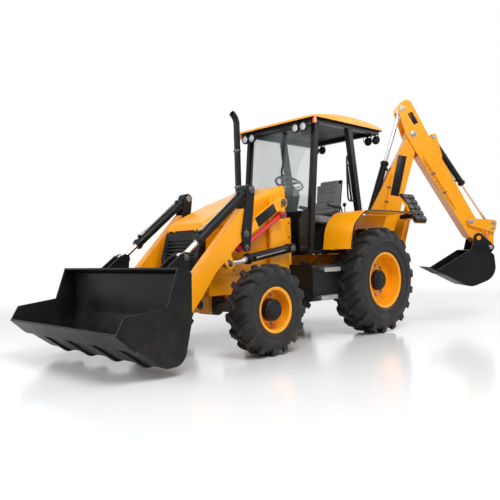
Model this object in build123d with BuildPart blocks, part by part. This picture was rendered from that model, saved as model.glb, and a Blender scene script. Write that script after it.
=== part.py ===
from build123d import *
from math import atan2, cos, degrees, hypot, radians, sin
import os

os.makedirs("parts", exist_ok=True)

# Backhoe loader in millimetres: +X forward, +Y to the machine's left, +Z up.
# The origin lies on the ground in the middle of the machine's box.

# Where the middle of the rear axle stands over the ground
datum_x = -682.0
datum_y = -208.0

# Fits
pin_gap = 0.5
side_gap = 0.8

# Wheels
wheelbase = 2170.0
rear_tyre_radius = 705.0
rear_tyre_width = 430.0
rear_rim_radius = 372.0
rear_wheel_y = 872.0
front_tyre_radius = 497.0
front_tyre_width = 310.0
front_rim_radius = 250.0
front_wheel_y = 962.0
rear_lugs = 18
rear_lug_height = 42.0
rear_lug_width = 76.0
front_lugs = 16
front_lug_height = 34.0
front_lug_width = 62.0
bead_gap = 5.0
kingpin_y = 822.0
kingpin_radius = 28.0
steer_arm_back = 185.0
steer_arm_in = 64.0
yoke_depth = 120.0
rim_well = 18.0
rim_flange = 8.0

# Main frame
rail_outer = 370.0
rail_thick = 40.0
rail_front = wheelbase + 310.0
rail_rear = -760.0
tower_outer = 495.0
tower_thick = 40.0

# Loader linkage, seen from the side as (x, z)
arm_pivot = (1497.0, 1711.0)
link_drop = 150.0
lever_pivot = (2140.0, 1330.0)
lever_rise = (-90.0, 500.0)
bucket_pivot = (3090.0, 590.0)
lift_foot = (1348.0, 1161.0)
lift_eye = (2380.0, 1000.0)
link_pivot = (arm_pivot[0], arm_pivot[1] - link_drop)
lever_foot = (lever_pivot[0], lever_pivot[1] - link_drop)
lever_head = (lever_pivot[0] + lever_rise[0], lever_pivot[1] + lever_rise[1])
tilt_eye = (bucket_pivot[0] + lever_rise[0], bucket_pivot[1] + lever_rise[1])
arm_inner = 520.0
arm_outer = 630.0
arm_middle = (arm_inner + arm_outer) / 2
ear_space = 4.0
ear_thick = 16.0
arm_pin_radius = 40.0
link_radius = 28.0
link_pin_radius = 26.0
bucket_pin_radius = 38.0

# Loader bucket
bucket_half = 1117.0
bucket_plate = 20.0

# Bonnet and cowl
bonnet_rear = 1270.0
bonnet_front = 2510.0
bonnet_plate = 16.0
hinge = (2506.0, 1390.0)
hinge_pin_radius = 8.0
hinge_y = 195.0
tow_pin_radius = 16.5
tow_x = rail_front + 160.0
cowl_foot = 880.0
engine_x = 1775.0
engine_half = 230.0
stack_x = 1350.0
stack_y = -315.0
stack_radius = 42.0

# Cab
floor_top = 1120.0
floor_half = 640.0
tank_side = 850.0
step_width = 320.0
step_depth = 80.0
roof_under = 2812.0
roof_top = 2900.0
roof_half = 690.0
roof_front = 1018.0
roof_rear = -622.0
roof_edge = 20.0
lamp_radius = 57.0
lamp_z = 2702.0

# Backhoe, in its own upright plane as (reach from the slew pin, height)
slew_x = -1230.0
slew_angle = 45.0
boom_foot = (230.0, 900.0)
boom_head = (674.0, 2915.0)
boom_ram_foot = (152.0, 1190.0)
boom_ram_eye = (440.0, 2134.0)
dipper_ram_foot = (-30.0, 1600.0)
dipper_tail = (509.0, 3329.0)
dig_pivot = (1658.0, 1253.0)
dig_lever_pivot = (1535.0, 1505.0)
dig_ram_foot = (1006.0, 2865.0)
dig_ram_eye = (1880.0, 1478.0)
dig_link_head = (1865.0, 1390.0)
dig_link_eye = (1850.0, 1100.0)
boom_half = 125.0
boom_plate = 20.0
dipper_half = 150.0
dipper_plate = 20.0
dig_half = 300.0
dig_plate = 16.0
slew_pin_radius = 45.0

# Stabilisers, seen from behind as (y, z)
leg_front = -860.0
leg_rear = -1000.0
leg_pivot = (430.0, 640.0)
leg_tip = (800.0, 1560.0)
leg_ram_foot = (430.0, 1300.0)
leg_ram_eye = (607.0, 777.0)


# Upright plane along the machine, local (x, z), facing the right
def side(y):
    return Plane(origin=(datum_x, datum_y + y, 0), x_dir=(1, 0, 0), z_dir=(0, -1, 0))


# Flat plane at a height, local (x, y), facing up
def level(z):
    return Plane(origin=(datum_x, datum_y, z), x_dir=(1, 0, 0), z_dir=(0, 0, 1))


# Upright plane across the machine, local (y, z), facing forward
def across(x):
    return Plane(origin=(datum_x + x, datum_y, 0), x_dir=(0, 1, 0), z_dir=(1, 0, 0))


# Upright plane of the backhoe, local (reach, z), moved sideways
def digger(offset):
    turn = radians(slew_angle)
    out = Vector(-cos(turn), sin(turn), 0)
    normal = Vector(sin(turn), cos(turn), 0)
    start = Vector(datum_x + slew_x, datum_y, 0) + normal * offset
    return Plane(origin=start, x_dir=out, z_dir=normal)


middle = Plane(origin=(datum_x, datum_y, 0), x_dir=(-1, 0, 0), z_dir=(0, 1, 0))


# Point on the line between two pins, measured from the first
def along(first, second, distance):
    span = hypot(second[0] - first[0], second[1] - first[1])
    step = distance / span
    return (first[0] + (second[0] - first[0]) * step, first[1] + (second[1] - first[1]) * step)


# Plane that lies in the given one, starts at the foot pin and points at the eye
def ram_plane(base, foot, eye):
    origin = base.from_local_coords((foot[0], foot[1], 0))
    tip = base.from_local_coords((eye[0], eye[1], 0))
    return Plane(origin=origin, x_dir=tip - origin, z_dir=base.z_dir)


# Barrel of a ram: foot eye, tube with a collar, and the bore for its rod
def ram_barrel(base, foot, eye, length, radius, rod_radius, foot_half, foot_pin, depth):
    plane = ram_plane(base, foot, eye)
    eye_radius = foot_pin + 24
    with BuildPart() as barrel:
        with BuildSketch(plane):
            Circle(eye_radius)
        extrude(amount=foot_half, both=True)
        with BuildSketch(plane):
            with BuildLine():
                Polyline(
                    (foot_pin + 8, 0),
                    (foot_pin + 8, radius * 0.7),
                    (eye_radius + 14, radius),
                    (length - 60, radius),
                    (length - 60, radius + 7),
                    (length - 6, radius + 7),
                    (length, radius + 1),
                    (length, rod_radius + pin_gap),
                    (length - depth, rod_radius + pin_gap),
                    (length - depth, 0),
                    close=True,
                )
            make_face()
        revolve(axis=Axis(plane.origin, plane.x_dir))
        with BuildSketch(plane):
            Circle(foot_pin + pin_gap)
        extrude(amount=foot_half, both=True, mode=Mode.SUBTRACT)
    return barrel.part


# Rod of a ram: chromed bar from inside the barrel to its closed eye
def ram_rod(base, foot, eye, start, rod_radius, eye_half, eye_radius):
    plane = ram_plane(base, foot, eye)
    span = hypot(eye[0] - foot[0], eye[1] - foot[1])
    with BuildPart() as rod:
        with BuildSketch(plane):
            with BuildLine():
                Polyline((start, 0), (start, rod_radius), (span, rod_radius), (span, 0), close=True)
            make_face()
        revolve(axis=Axis(plane.origin, plane.x_dir))
        with BuildSketch(plane):
            with Locations((span, 0)):
                Circle(eye_radius)
        extrude(amount=eye_half, both=True)
    return rod.part


# Left-hand piece and its twin on the right
def pair(left):
    with BuildPart() as both:
        add(left)
        mirror(about=middle)
    return both.part


# Plane through a wheel's axle, local (outward, up)
def wheel_plane(x, y, radius):
    return Plane(origin=(datum_x + x, datum_y + y, radius), x_dir=(0, 1, 0), z_dir=(1, 0, 0))


# Rim, disc and hub turned in one outline
def wheel_rim(x, y, tyre_radius, rim, half, disc, hub, hub_face, bore, inner):
    plane = wheel_plane(x, y, tyre_radius)
    seat = rim - rim_well
    with BuildPart() as wheel:
        with BuildSketch(plane):
            with BuildLine():
                Polyline(
                    (inner, bore),
                    (inner, hub),
                    (disc - 14, hub),
                    (disc - 14, seat - 16),
                    (rim_flange - half, seat - 16),
                    (-half, rim - 14),
                    (-half, rim),
                    (rim_flange - half, rim),
                    (rim_flange - half, seat),
                    (half - rim_flange, seat),
                    (half - rim_flange, rim),
                    (half, rim),
                    (half, rim - 14),
                    (half - 10, seat - 16),
                    (disc, seat - 16),
                    (disc, hub + 6),
                    (hub_face - 16, hub - 4),
                    (hub_face, hub - 24),
                    (hub_face, 0),
                    (hub_face - 30, 0),
                    (hub_face - 30, bore),
                    close=True,
                )
            make_face()
        revolve(axis=Axis(plane.origin, (0, 1, 0)))
    return wheel.part


# Tyre: polygon rings joined across the width, then two staggered rows of slanted lugs
def lug_tyre(x, y, tyre_radius, width, rim, bead, lugs, lug_height, lug_width):
    hub = Vector(datum_x + x, datum_y + y, tyre_radius)
    axle = Axis(hub, (0, 1, 0))
    facets = 2 * lugs
    pitch = 360 / lugs
    seat = (rim - rim_well) / cos(radians(180 / facets))
    tread = tyre_radius - lug_height
    half = width / 2
    skew = 0.6 * half
    reach = skew / 2 + lug_width * 0.6
    root = tread - 60
    rings = (
        (-bead, rim + bead_gap), (-half, (seat + tread) / 2), (-half * 0.88, tread - 8),
        (half * 0.88, tread - 8), (half, (seat + tread) / 2), (bead, rim + bead_gap),
    )
    with BuildPart() as lug:
        with BuildSketch(Plane(origin=hub + Vector(0, 0, root))):
            with BuildLine():
                Polyline(
                    (skew / 2 + lug_width * 0.4, -6), (skew / 2 - lug_width * 0.4, -6),
                    (-skew / 2 - lug_width * 0.6, half * 0.98), (-skew / 2 + lug_width * 0.6, half * 0.98),
                    close=True,
                )
            make_face()
        extrude(amount=(tyre_radius ** 2 - reach ** 2) ** 0.5 - root)
    twin = mirror(lug.part, about=Plane(origin=hub, z_dir=(0, 1, 0)), mode=Mode.PRIVATE)
    twin = twin.rotate(axle, pitch / 2)
    with BuildPart() as tyre:
        for place, radius in rings:
            with BuildSketch(Plane(origin=hub + Vector(0, place, 0), x_dir=(1, 0, 0), z_dir=(0, 1, 0))):
                RegularPolygon(radius, facets)
        loft(ruled=True)
        add([lug.part.rotate(axle, pitch * count) for count in range(lugs)])
        add([twin.rotate(axle, pitch * count) for count in range(lugs)])
        with BuildSketch(Plane(origin=hub + Vector(0, -bead, 0), x_dir=(1, 0, 0), z_dir=(0, 1, 0))):
            RegularPolygon(seat, facets)
        extrude(amount=2 * bead, mode=Mode.SUBTRACT)
    return tyre.part


# Main frame: rails, cross members, loader towers and the axle cradle
with BuildPart() as main_frame:
    with BuildSketch(side(rail_outer)):
        with BuildLine():
            Polyline(
                (rail_rear, 830), (300, 830), (640, 640), (rail_front, 640), (rail_front, cowl_foot),
                (760, cowl_foot), (440, 1070), (rail_rear, 1070), close=True,
            )
        make_face()
    extrude(amount=rail_thick)
    with BuildSketch(level(700)):
        with Locations((1445, tower_outer / 2)):
            Rectangle(230, tower_outer)
        with Locations((rail_front - 60, rail_outer / 2)):
            Rectangle(120, rail_outer)
    extrude(amount=180)
    with BuildSketch(side(tower_outer)):
        with Locations(arm_pivot):
            Circle(80)
        with Locations(lift_foot):
            Circle(75)
        with Locations((1440, 760)):
            Rectangle(330, 120)
        make_hull()
    extrude(amount=tower_thick)
    with BuildSketch(side(arm_outer + 10)):
        with Locations(arm_pivot):
            Circle(arm_pin_radius)
        with Locations(link_pivot):
            Circle(link_pin_radius)
        with Locations(lift_foot):
            Circle(34)
    extrude(amount=arm_outer + 10 - tower_outer)
    with BuildSketch(level(830)):
        with Locations((-700, rail_outer / 2)):
            Rectangle(120, rail_outer)
    extrude(amount=200)
    for cradle_x in (wheelbase - 150, wheelbase + 110):
        with BuildSketch(across(cradle_x)):
            with Locations((85, 560)):
                Rectangle(170, 280)
            with Locations((rail_outer / 2, 670)):
                Rectangle(rail_outer, 60)
        extrude(amount=40)
    mirror(about=middle)
    with BuildSketch(side(60)):
        with BuildLine():
            Polyline(
                (rail_front - 60, 590), (rail_front + 220, 590), (rail_front + 220, 674),
                (rail_front + 80, 674), (rail_front, 698), (rail_front, 720), (rail_front - 60, 720), close=True,
            )
        make_face()
    extrude(amount=120)
    with BuildSketch(side(60)):
        with Locations((rail_front + 180, 632)):
            Rectangle(140, 40)
    extrude(amount=120, mode=Mode.SUBTRACT)
    with BuildSketch(level(580)):
        with Locations((tow_x, 0)):
            Circle(tow_pin_radius)
    extrude(amount=110, mode=Mode.SUBTRACT)
    with BuildSketch(across(wheelbase - 170)):
        with Locations((0, 520)):
            Circle(60)
    extrude(amount=340, mode=Mode.SUBTRACT)

# Front axle: beam, final drive bulge, trunnion and the yokes for the knuckles
with BuildPart() as front_axle:
    with BuildSketch(across(wheelbase - 150)):
        with Locations((0, 520)):
            Circle(60 - pin_gap)
    extrude(amount=300)
    with BuildSketch(side(kingpin_y - 20 - yoke_depth)):
        with Locations((wheelbase, front_tyre_radius)):
            SlotOverall(150, 120)
    extrude(amount=2 * (kingpin_y - 20 - yoke_depth))
    with BuildSketch(side(150)):
        with Locations((wheelbase, front_tyre_radius)):
            Circle(108)
    extrude(amount=300)
    with BuildSketch(level(375)):
        with Locations((wheelbase, kingpin_y - 40 - yoke_depth)):
            Rectangle(130, 40)
    extrude(amount=245)
    with BuildSketch(level(375)):
        with Locations((wheelbase, kingpin_y - 40 - yoke_depth / 2)):
            Rectangle(120, yoke_depth + 40)
        with Locations((wheelbase, kingpin_y)):
            Circle(60)
        with Locations((wheelbase, kingpin_y)):
            Circle(kingpin_radius + pin_gap, mode=Mode.SUBTRACT)
    extrude(amount=30)
    with BuildSketch(level(590)):
        with Locations((wheelbase, kingpin_y - 40 - yoke_depth / 2)):
            Rectangle(120, yoke_depth + 40)
        with Locations((wheelbase, kingpin_y)):
            Circle(60)
        with Locations((wheelbase, kingpin_y)):
            Circle(kingpin_radius + pin_gap, mode=Mode.SUBTRACT)
    extrude(amount=30)
    mirror(about=middle)
    with BuildSketch(side(kingpin_y - 20)):
        with Locations((wheelbase, front_tyre_radius)):
            Rectangle(200, 185)
    extrude(amount=yoke_depth, mode=Mode.SUBTRACT)
    with BuildSketch(side(20 + yoke_depth - kingpin_y)):
        with Locations((wheelbase, front_tyre_radius)):
            Rectangle(200, 185)
    extrude(amount=yoke_depth, mode=Mode.SUBTRACT)

# Left knuckle: kingpin, block, stub axle and steering arm
spindle_radius = 55.0
track_x = wheelbase - steer_arm_back
track_y = kingpin_y - steer_arm_in
with BuildPart() as knuckle_left:
    with BuildSketch(level(405 + side_gap)):
        with Locations((wheelbase, kingpin_y + 45)):
            Rectangle(110, 110)
        with Locations((wheelbase, kingpin_y)):
            Circle(52)
    extrude(amount=185 - 2 * side_gap)
    with BuildSketch(level(372)):
        with Locations((wheelbase, kingpin_y)):
            Circle(kingpin_radius)
    extrude(amount=251)
    with BuildSketch(side(kingpin_y + 220)):
        with Locations((wheelbase, front_tyre_radius)):
            Circle(spindle_radius)
    extrude(amount=140)
    with BuildSketch(level(430)):
        with Locations((wheelbase, kingpin_y), (track_x, track_y)):
            Circle(30)
        make_hull()
    extrude(amount=36)

with BuildPart() as knuckle_right:
    add(mirror(knuckle_left.part, about=middle, mode=Mode.PRIVATE))

# Track rod over the two steering arms
with BuildPart() as track_rod:
    with BuildSketch(side(track_y)):
        with Locations((track_x, 492)):
            Circle(18)
    extrude(amount=2 * track_y)
    with BuildSketch(level(466 + side_gap)):
        with Locations((track_x, track_y), (track_x, -track_y)):
            Circle(28)
    extrude(amount=52)

# Rear axle: tube, final drive casing, pads under the rails, stub axles
rear_spindle_radius = 70.0
with BuildPart() as rear_axle:
    with BuildSketch(side(640)):
        with Locations((0, rear_tyre_radius)):
            Circle(92)
    extrude(amount=1280)
    with BuildSketch(side(900)):
        with Locations((0, rear_tyre_radius)):
            Circle(rear_spindle_radius)
    extrude(amount=1800)
    with BuildSketch(side(190)):
        with Locations((0, rear_tyre_radius)):
            Circle(190)
    extrude(amount=380)
    with BuildSketch(level(rear_tyre_radius)):
        with Locations((0, rail_outer - 30), (0, 30 - rail_outer)):
            Rectangle(200, 60)
    extrude(amount=830 - rear_tyre_radius)

# Engine
with BuildPart() as engine:
    with BuildSketch(level(cowl_foot)):
        with Locations((engine_x, 0)):
            Rectangle(940, 2 * engine_half)
    extrude(amount=420)
    with BuildSketch(level(cowl_foot + 420)):
        with Locations((engine_x, 0)):
            Rectangle(820, 300)
    extrude(amount=110)

# Wheels
front_half = 141.0
rear_half = 193.0
front_rim = wheel_rim(
    wheelbase, front_wheel_y, front_tyre_radius, front_rim_radius, front_half, -4, 122, 121,
    spindle_radius + pin_gap, -38,
)
rear_rim = wheel_rim(
    0, rear_wheel_y, rear_tyre_radius, rear_rim_radius, rear_half, 24, 138, 112,
    rear_spindle_radius + pin_gap, -226,
)
front_tyre = lug_tyre(
    wheelbase, front_wheel_y, front_tyre_radius, front_tyre_width, front_rim_radius, front_half - rim_flange,
    front_lugs, front_lug_height, front_lug_width,
)
rear_tyre = lug_tyre(
    0, rear_wheel_y, rear_tyre_radius, rear_tyre_width, rear_rim_radius, rear_half - rim_flange,
    rear_lugs, rear_lug_height, rear_lug_width,
)

with BuildPart() as front_rim_left:
    add(front_rim)
with BuildPart() as front_rim_right:
    add(mirror(front_rim, about=middle, mode=Mode.PRIVATE))
with BuildPart() as rear_rim_left:
    add(rear_rim)
with BuildPart() as rear_rim_right:
    add(mirror(rear_rim, about=middle, mode=Mode.PRIVATE))
with BuildPart() as front_tyre_left:
    add(front_tyre)
with BuildPart() as front_tyre_right:
    add(mirror(front_tyre, about=middle, mode=Mode.PRIVATE))
with BuildPart() as rear_tyre_left:
    add(rear_tyre)
with BuildPart() as rear_tyre_right:
    add(mirror(rear_tyre, about=middle, mode=Mode.PRIVATE))

# Loader arms: cranked boxes joined by a cross tube
with BuildPart() as loader_arms:
    with BuildSketch(side(arm_outer)):
        with BuildLine():
            Polyline(
                arm_pivot, (1530, 1755), (2020, 1460), (2105, 1610), (2180, 1615), (2905, 885),
                (3150, 620), (3090, 505), (2960, 480), (2795, 657), (2592, 912), (2250, 1215),
                (2080, 1314), (1470, 1670), close=True,
            )
        make_face()
        with Locations(arm_pivot):
            Circle(66)
        with Locations(bucket_pivot):
            Circle(86)
        with Locations(lever_pivot):
            Circle(62)
    extrude(amount=arm_outer - arm_inner)
    with BuildSketch(side(arm_outer)):
        with Locations(lift_eye):
            Circle(56)
        with Locations((2440, 1100)):
            Circle(70)
        make_hull()
    extrude(amount=arm_outer - arm_inner)
    with BuildSketch(side(arm_outer - 24)):
        with Locations(lift_eye):
            Circle(92)
    extrude(amount=arm_outer - arm_inner - 48, mode=Mode.SUBTRACT)
    with BuildSketch(side(arm_outer)):
        with Locations(arm_pivot):
            Circle(arm_pin_radius + pin_gap)
        with Locations(lever_pivot):
            Circle(arm_pin_radius + pin_gap)
        with Locations(bucket_pivot):
            Circle(bucket_pin_radius + pin_gap)
    extrude(amount=arm_outer - arm_inner, mode=Mode.SUBTRACT)
    with BuildSketch(side(arm_inner + 20)):
        with Locations((2815, 826)):
            Circle(60)
    extrude(amount=arm_inner + 20)
    mirror(about=middle)

# Tilt levers: two cheeks beside each arm, joined by their pins
with BuildPart() as lever_left:
    for cheek in (arm_outer + ear_space + ear_thick, arm_inner - ear_space):
        with BuildSketch(side(cheek)):
            with Locations(lever_foot):
                Circle(52)
            with Locations(lever_pivot):
                Circle(72)
            with Locations(lever_head):
                Circle(56)
            make_hull()
        extrude(amount=ear_thick)
        with BuildSketch(side(cheek)):
            with Locations(lever_head):
                Circle(arm_pin_radius + pin_gap)
        extrude(amount=ear_thick, mode=Mode.SUBTRACT)
    with BuildSketch(side(arm_outer + ear_space)):
        with Locations(lever_pivot):
            Circle(arm_pin_radius)
    extrude(amount=arm_outer - arm_inner + 2 * ear_space)
with BuildPart() as tilt_levers:
    add(pair(lever_left.part))

# Pins that carry the tilt rams
with BuildPart() as tilt_pins:
    with BuildSketch(side(arm_outer + ear_space + ear_thick + 8)):
        with Locations(lever_head):
            Circle(arm_pin_radius)
    extrude(amount=arm_outer - arm_inner + 2 * ear_space + 2 * ear_thick + 16)
    mirror(about=middle)

# Levelling links: round bars between the towers and the lever feet
with BuildPart() as link_left:
    with BuildSketch(side(arm_outer + ear_space - side_gap)):
        with Locations(link_pivot, lever_foot):
            Circle(44)
    extrude(amount=arm_outer - arm_inner + 2 * ear_space - 2 * side_gap)
    link_frame = ram_plane(side(arm_middle), link_pivot, lever_foot)
    link_span = hypot(lever_foot[0] - link_pivot[0], lever_foot[1] - link_pivot[1])
    with BuildSketch(Plane(origin=link_frame.origin, x_dir=link_frame.z_dir, z_dir=link_frame.x_dir)):
        Circle(link_radius)
    extrude(amount=link_span)
    with BuildSketch(side(arm_outer + 20)):
        with Locations(link_pivot):
            Circle(link_pin_radius + pin_gap)
    extrude(amount=arm_outer - arm_inner + 40, mode=Mode.SUBTRACT)
with BuildPart() as levelling_links:
    add(pair(link_left.part))

# Pins that carry the loader bucket
with BuildPart() as bucket_pins:
    with BuildSketch(side(arm_outer + ear_space + ear_thick + 8)):
        with Locations(bucket_pivot):
            Circle(bucket_pin_radius)
    extrude(amount=arm_outer - arm_inner + 2 * ear_space + 2 * ear_thick + 16)
    mirror(about=middle)

# Loader bucket: rolled shell, stepped sides, ears for the pins and rods
bucket_line = [
    (4126, 444), (3640, 92), (3420, 100), (3318, 500), (3306, 956), (3460, 1000),
]
with BuildPart() as loader_bucket:
    with BuildSketch(side(bucket_half)):
        with BuildLine():
            FilletPolyline(*bucket_line, radius=(150, 150, 200, 40))
            offset(amount=bucket_plate, side=Side.RIGHT)
        make_face()
    extrude(amount=2 * bucket_half)
    for plate in (bucket_half, bucket_plate - bucket_half):
        with BuildSketch(side(plate)):
            with BuildLine():
                FilletPolyline(*bucket_line, radius=(150, 150, 200, 40))
                Polyline((3460, 1000), (3588, 650), (4035, 597), (4126, 444))
            make_face()
        extrude(amount=bucket_plate)
    with BuildSketch(side(bucket_half)):
        with BuildLine():
            Polyline((4126, 444), (3924, 310), (3946, 284), (3972, 302), close=True)
        make_face()
    extrude(amount=2 * bucket_half)
    for cutter in (bucket_half + 10, 10 - bucket_half):
        with BuildSketch(side(cutter)):
            with BuildLine():
                Polyline((4110, 444), (4026, 588), (3940, 590), (4000, 430), (3930, 320), close=True)
            make_face()
        extrude(amount=20)
    for bar in range(4):
        with BuildSketch(side(-780 + bar * 520 + 40)):
            with BuildLine():
                Polyline(
                    (3894, 292), (3628, 104), (3440, 108), (3452, 78), (3640, 70), (3914, 268), close=True,
                )
            make_face()
        extrude(amount=80)
    for ear in (arm_outer + ear_space + ear_thick, arm_inner - ear_space):
        for flip in (0, 1):
            with BuildSketch(side(ear if flip == 0 else ear_thick - ear)):
                with BuildLine():
                    Polyline((3325, 470), (3325, 930), (3060, 1130), (2950, 1110), (3010, 560), close=True)
                make_face()
                with Locations(bucket_pivot):
                    Circle(80)
                with Locations(tilt_eye):
                    Circle(56)
                with Locations(bucket_pivot):
                    Circle(bucket_pin_radius + pin_gap, mode=Mode.SUBTRACT)
            extrude(amount=ear_thick)

# Loader rams
lift_rod_radius = 30.0
with BuildPart() as lift_barrels:
    add(pair(ram_barrel(
        side(arm_middle), lift_foot, lift_eye, 760, 52, lift_rod_radius, 54, 34, 700,
    )))
with BuildPart() as lift_rods:
    add(pair(ram_rod(
        side(arm_middle), lift_foot, lift_eye, 130, lift_rod_radius, 31 - side_gap, 52,
    )))
tilt_rod_radius = 28.0
with BuildPart() as tilt_barrels:
    add(pair(ram_barrel(
        side(arm_middle), lever_head, tilt_eye, 960, 50, tilt_rod_radius, 58, 40, 870,
    )))
with BuildPart() as tilt_rods:
    add(pair(ram_rod(
        side(arm_middle), lever_head, tilt_eye, 250, tilt_rod_radius, 59 - side_gap, 48,
    )))

# Grille: leaning black front with the bonnet's hinge pins
with BuildPart() as grille:
    with BuildSketch(side(345)):
        with BuildLine():
            Polyline((2490, 700), (2490, 1380), (2524, 1380), (2612, 1080), (2600, 700), close=True)
        make_face()
    extrude(amount=690)
    with BuildSketch(across(2530)):
        with Locations((0, 1110)):
            with GridLocations(1, 40, 1, 9):
                Rectangle(540, 20)
        with Locations((0, 800)):
            with GridLocations(1, 40, 1, 3):
                Rectangle(440, 20)
    extrude(amount=120, mode=Mode.SUBTRACT)
    with BuildSketch(level(1366)):
        with Locations((2508, hinge_y), (2508, -hinge_y)):
            Rectangle(50, 36)
    extrude(amount=30, mode=Mode.SUBTRACT)
    for pin_y in (hinge_y, -hinge_y):
        with BuildSketch(side(pin_y + 26)):
            with Locations(hinge):
                Circle(hinge_pin_radius)
        extrude(amount=52)
        for ear_y in (pin_y + 26, pin_y - 16):
            with BuildSketch(side(ear_y)):
                with Locations((hinge[0], hinge[1] - 10)):
                    Rectangle(20, 26)
            extrude(amount=10)

# Side panels under the bonnet
with BuildPart() as side_panels:
    with BuildSketch(level(cowl_foot)):
        with BuildLine():
            Polyline((1180, 436), (1180, 448), (2490, 352), (2490, 340), close=True)
        make_face()
    extrude(amount=700)
    with BuildSketch(side(500)):
        with BuildLine():
            Polyline((1100, 1560), (1270, 1540), (2500, 1395), (2500, 1700), (1100, 1700), close=True)
        make_face()
        with Locations((1200, 900)):
            Rectangle(200, 110)
    extrude(amount=200, mode=Mode.SUBTRACT)
    mirror(about=middle)


# Bonnet skin: rounded sections joined from the cab to the nose
def bonnet_skin(inset):
    sections = (
        (bonnet_rear - inset * 2, 445, 1950, 1546),
        (1900, 392, 1735, 1472),
        (2380, 352, 1540, 1415),
        (bonnet_front - inset, 335, 1475, 1394),
    )
    with BuildPart() as skin:
        for place, half, top, foot in sections:
            low = foot - inset * 3
            with BuildSketch(across(place)):
                with Locations((0, (top - inset + low) / 2)):
                    Rectangle(2 * (half - inset), top - inset - low)
                fillet(vertices().group_by(Axis.Y)[-1], 60)
        loft(ruled=True)
    return skin.part


with BuildPart() as bonnet:
    add(bonnet_skin(0))
    add(bonnet_skin(bonnet_plate), mode=Mode.SUBTRACT)
    with BuildSketch(level(1600)):
        with Locations((stack_x - 20, stack_y)):
            Rectangle(190, 2 * stack_radius + 46)
    extrude(amount=400, mode=Mode.SUBTRACT)
    with BuildSketch(level(hinge[1] - 10)):
        with Locations((2500, hinge_y), (2500, -hinge_y)):
            Rectangle(60, 66)
    extrude(amount=24, mode=Mode.SUBTRACT)
    for tab_y in (hinge_y + 13, 13 - hinge_y):
        with BuildSketch(side(tab_y)):
            with Locations(hinge):
                Circle(15)
            with Locations((bonnet_front - 9, 1412)):
                Rectangle(14, 44)
            with Locations(hinge):
                Circle(hinge_pin_radius + pin_gap, mode=Mode.SUBTRACT)
        extrude(amount=26)

# Cab floor with its front bulkhead
with BuildPart() as cab_floor:
    with BuildSketch(level(1080)):
        with Locations((345, 0)):
            Rectangle(1450, 2 * floor_half)
    extrude(amount=floor_top - 1080)
    with BuildSketch(level(1070)):
        with Locations((-300, 350), (-300, -350), (380, 350), (380, -350)):
            Circle(40)
    extrude(amount=10)
    with BuildSketch(across(1040)):
        with Locations((0, 1350)):
            Rectangle(1160, 540)
    extrude(amount=30)
    with BuildSketch(side(600)):
        with BuildLine():
            Polyline(
                (1030, floor_top), (1180, floor_top), (1180, 1500), (1070, 1640), (978, 1640), close=True,
            )
        make_face()
    extrude(amount=24)
    with BuildSketch(side(-576)):
        with BuildLine():
            Polyline(
                (1030, floor_top), (1180, floor_top), (1180, 1500), (1070, 1640), (978, 1640), close=True,
            )
        make_face()
    extrude(amount=24)

# Canopy frame: four posts and the ring under the roof
with BuildPart() as canopy_frame:
    with BuildSketch(level(floor_top)):
        with Locations((985, 595)):
            Rectangle(80, 60)
    with BuildSketch(level(2760)):
        with Locations((818, 590)):
            Rectangle(80, 60)
    loft()
    with BuildSketch(level(floor_top)):
        with Locations((-157, 600)):
            Rectangle(90, 70)
    with BuildSketch(level(2760)):
        with Locations((130, 600)):
            Rectangle(90, 70)
    loft()
    with BuildLine() as grab:
        Polyline(
            (datum_x - 20, datum_y + 600, 1780), (datum_x + 90, datum_y + 600, 1800),
            (datum_x + 170, datum_y + 600, 2270), (datum_x + 66, datum_y + 600, 2290),
        )
    with BuildSketch(Plane(origin=grab.wires()[0] @ 0, z_dir=grab.wires()[0] % 0)):
        RegularPolygon(15, 8)
    sweep(path=grab.wires()[0], transition=Transition.RIGHT)
    mirror(about=middle)
    with BuildSketch(level(2760)):
        with Locations((198, 0)):
            Rectangle(1500, 1280)
            Rectangle(1380, 1150, mode=Mode.SUBTRACT)
    extrude(amount=roof_under - 2760)

# Roof: crowned shell with a drooping visor
with BuildPart() as roof:
    with BuildSketch(side(roof_half)):
        with BuildLine():
            Polyline(
                (roof_rear, roof_under + 22), (roof_rear, roof_under), (roof_front - 60, roof_under),
                (roof_front, roof_under - 20), (roof_front, roof_under + 8),
            )
            ThreePointArc((roof_front, roof_under + 8), (420, roof_top), (roof_rear, roof_under + 22))
        make_face()
    extrude(amount=2 * roof_half)
    fillet(roof.edges().filter_by(Axis.Z), 90)
    fillet(roof.faces().sort_by(Axis.Z)[-1].edges(), roof_edge)

# Windscreen, bowed and leaning
with BuildPart() as windscreen:
    with BuildSketch(level(1620)):
        with BuildLine():
            ThreePointArc((950, -560), (1010, 0), (950, 560))
            Line((950, 560), (942, 560))
            ThreePointArc((942, 560), (1002, 0), (942, -560))
            Line((942, -560), (950, -560))
        make_face()
    extrude(amount=1148, dir=(-0.124, 0, 0.9923))

# Dash and steering column
with BuildPart() as dash_block:
    with BuildSketch(side(250)):
        with BuildLine():
            Polyline(
                (1036, floor_top), (1036, 1560), (950, 1620), (890, 1900), (780, 1940), (760, 1860),
                (840, 1600), (860, floor_top), close=True,
            )
        make_face()
    extrude(amount=500)

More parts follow.
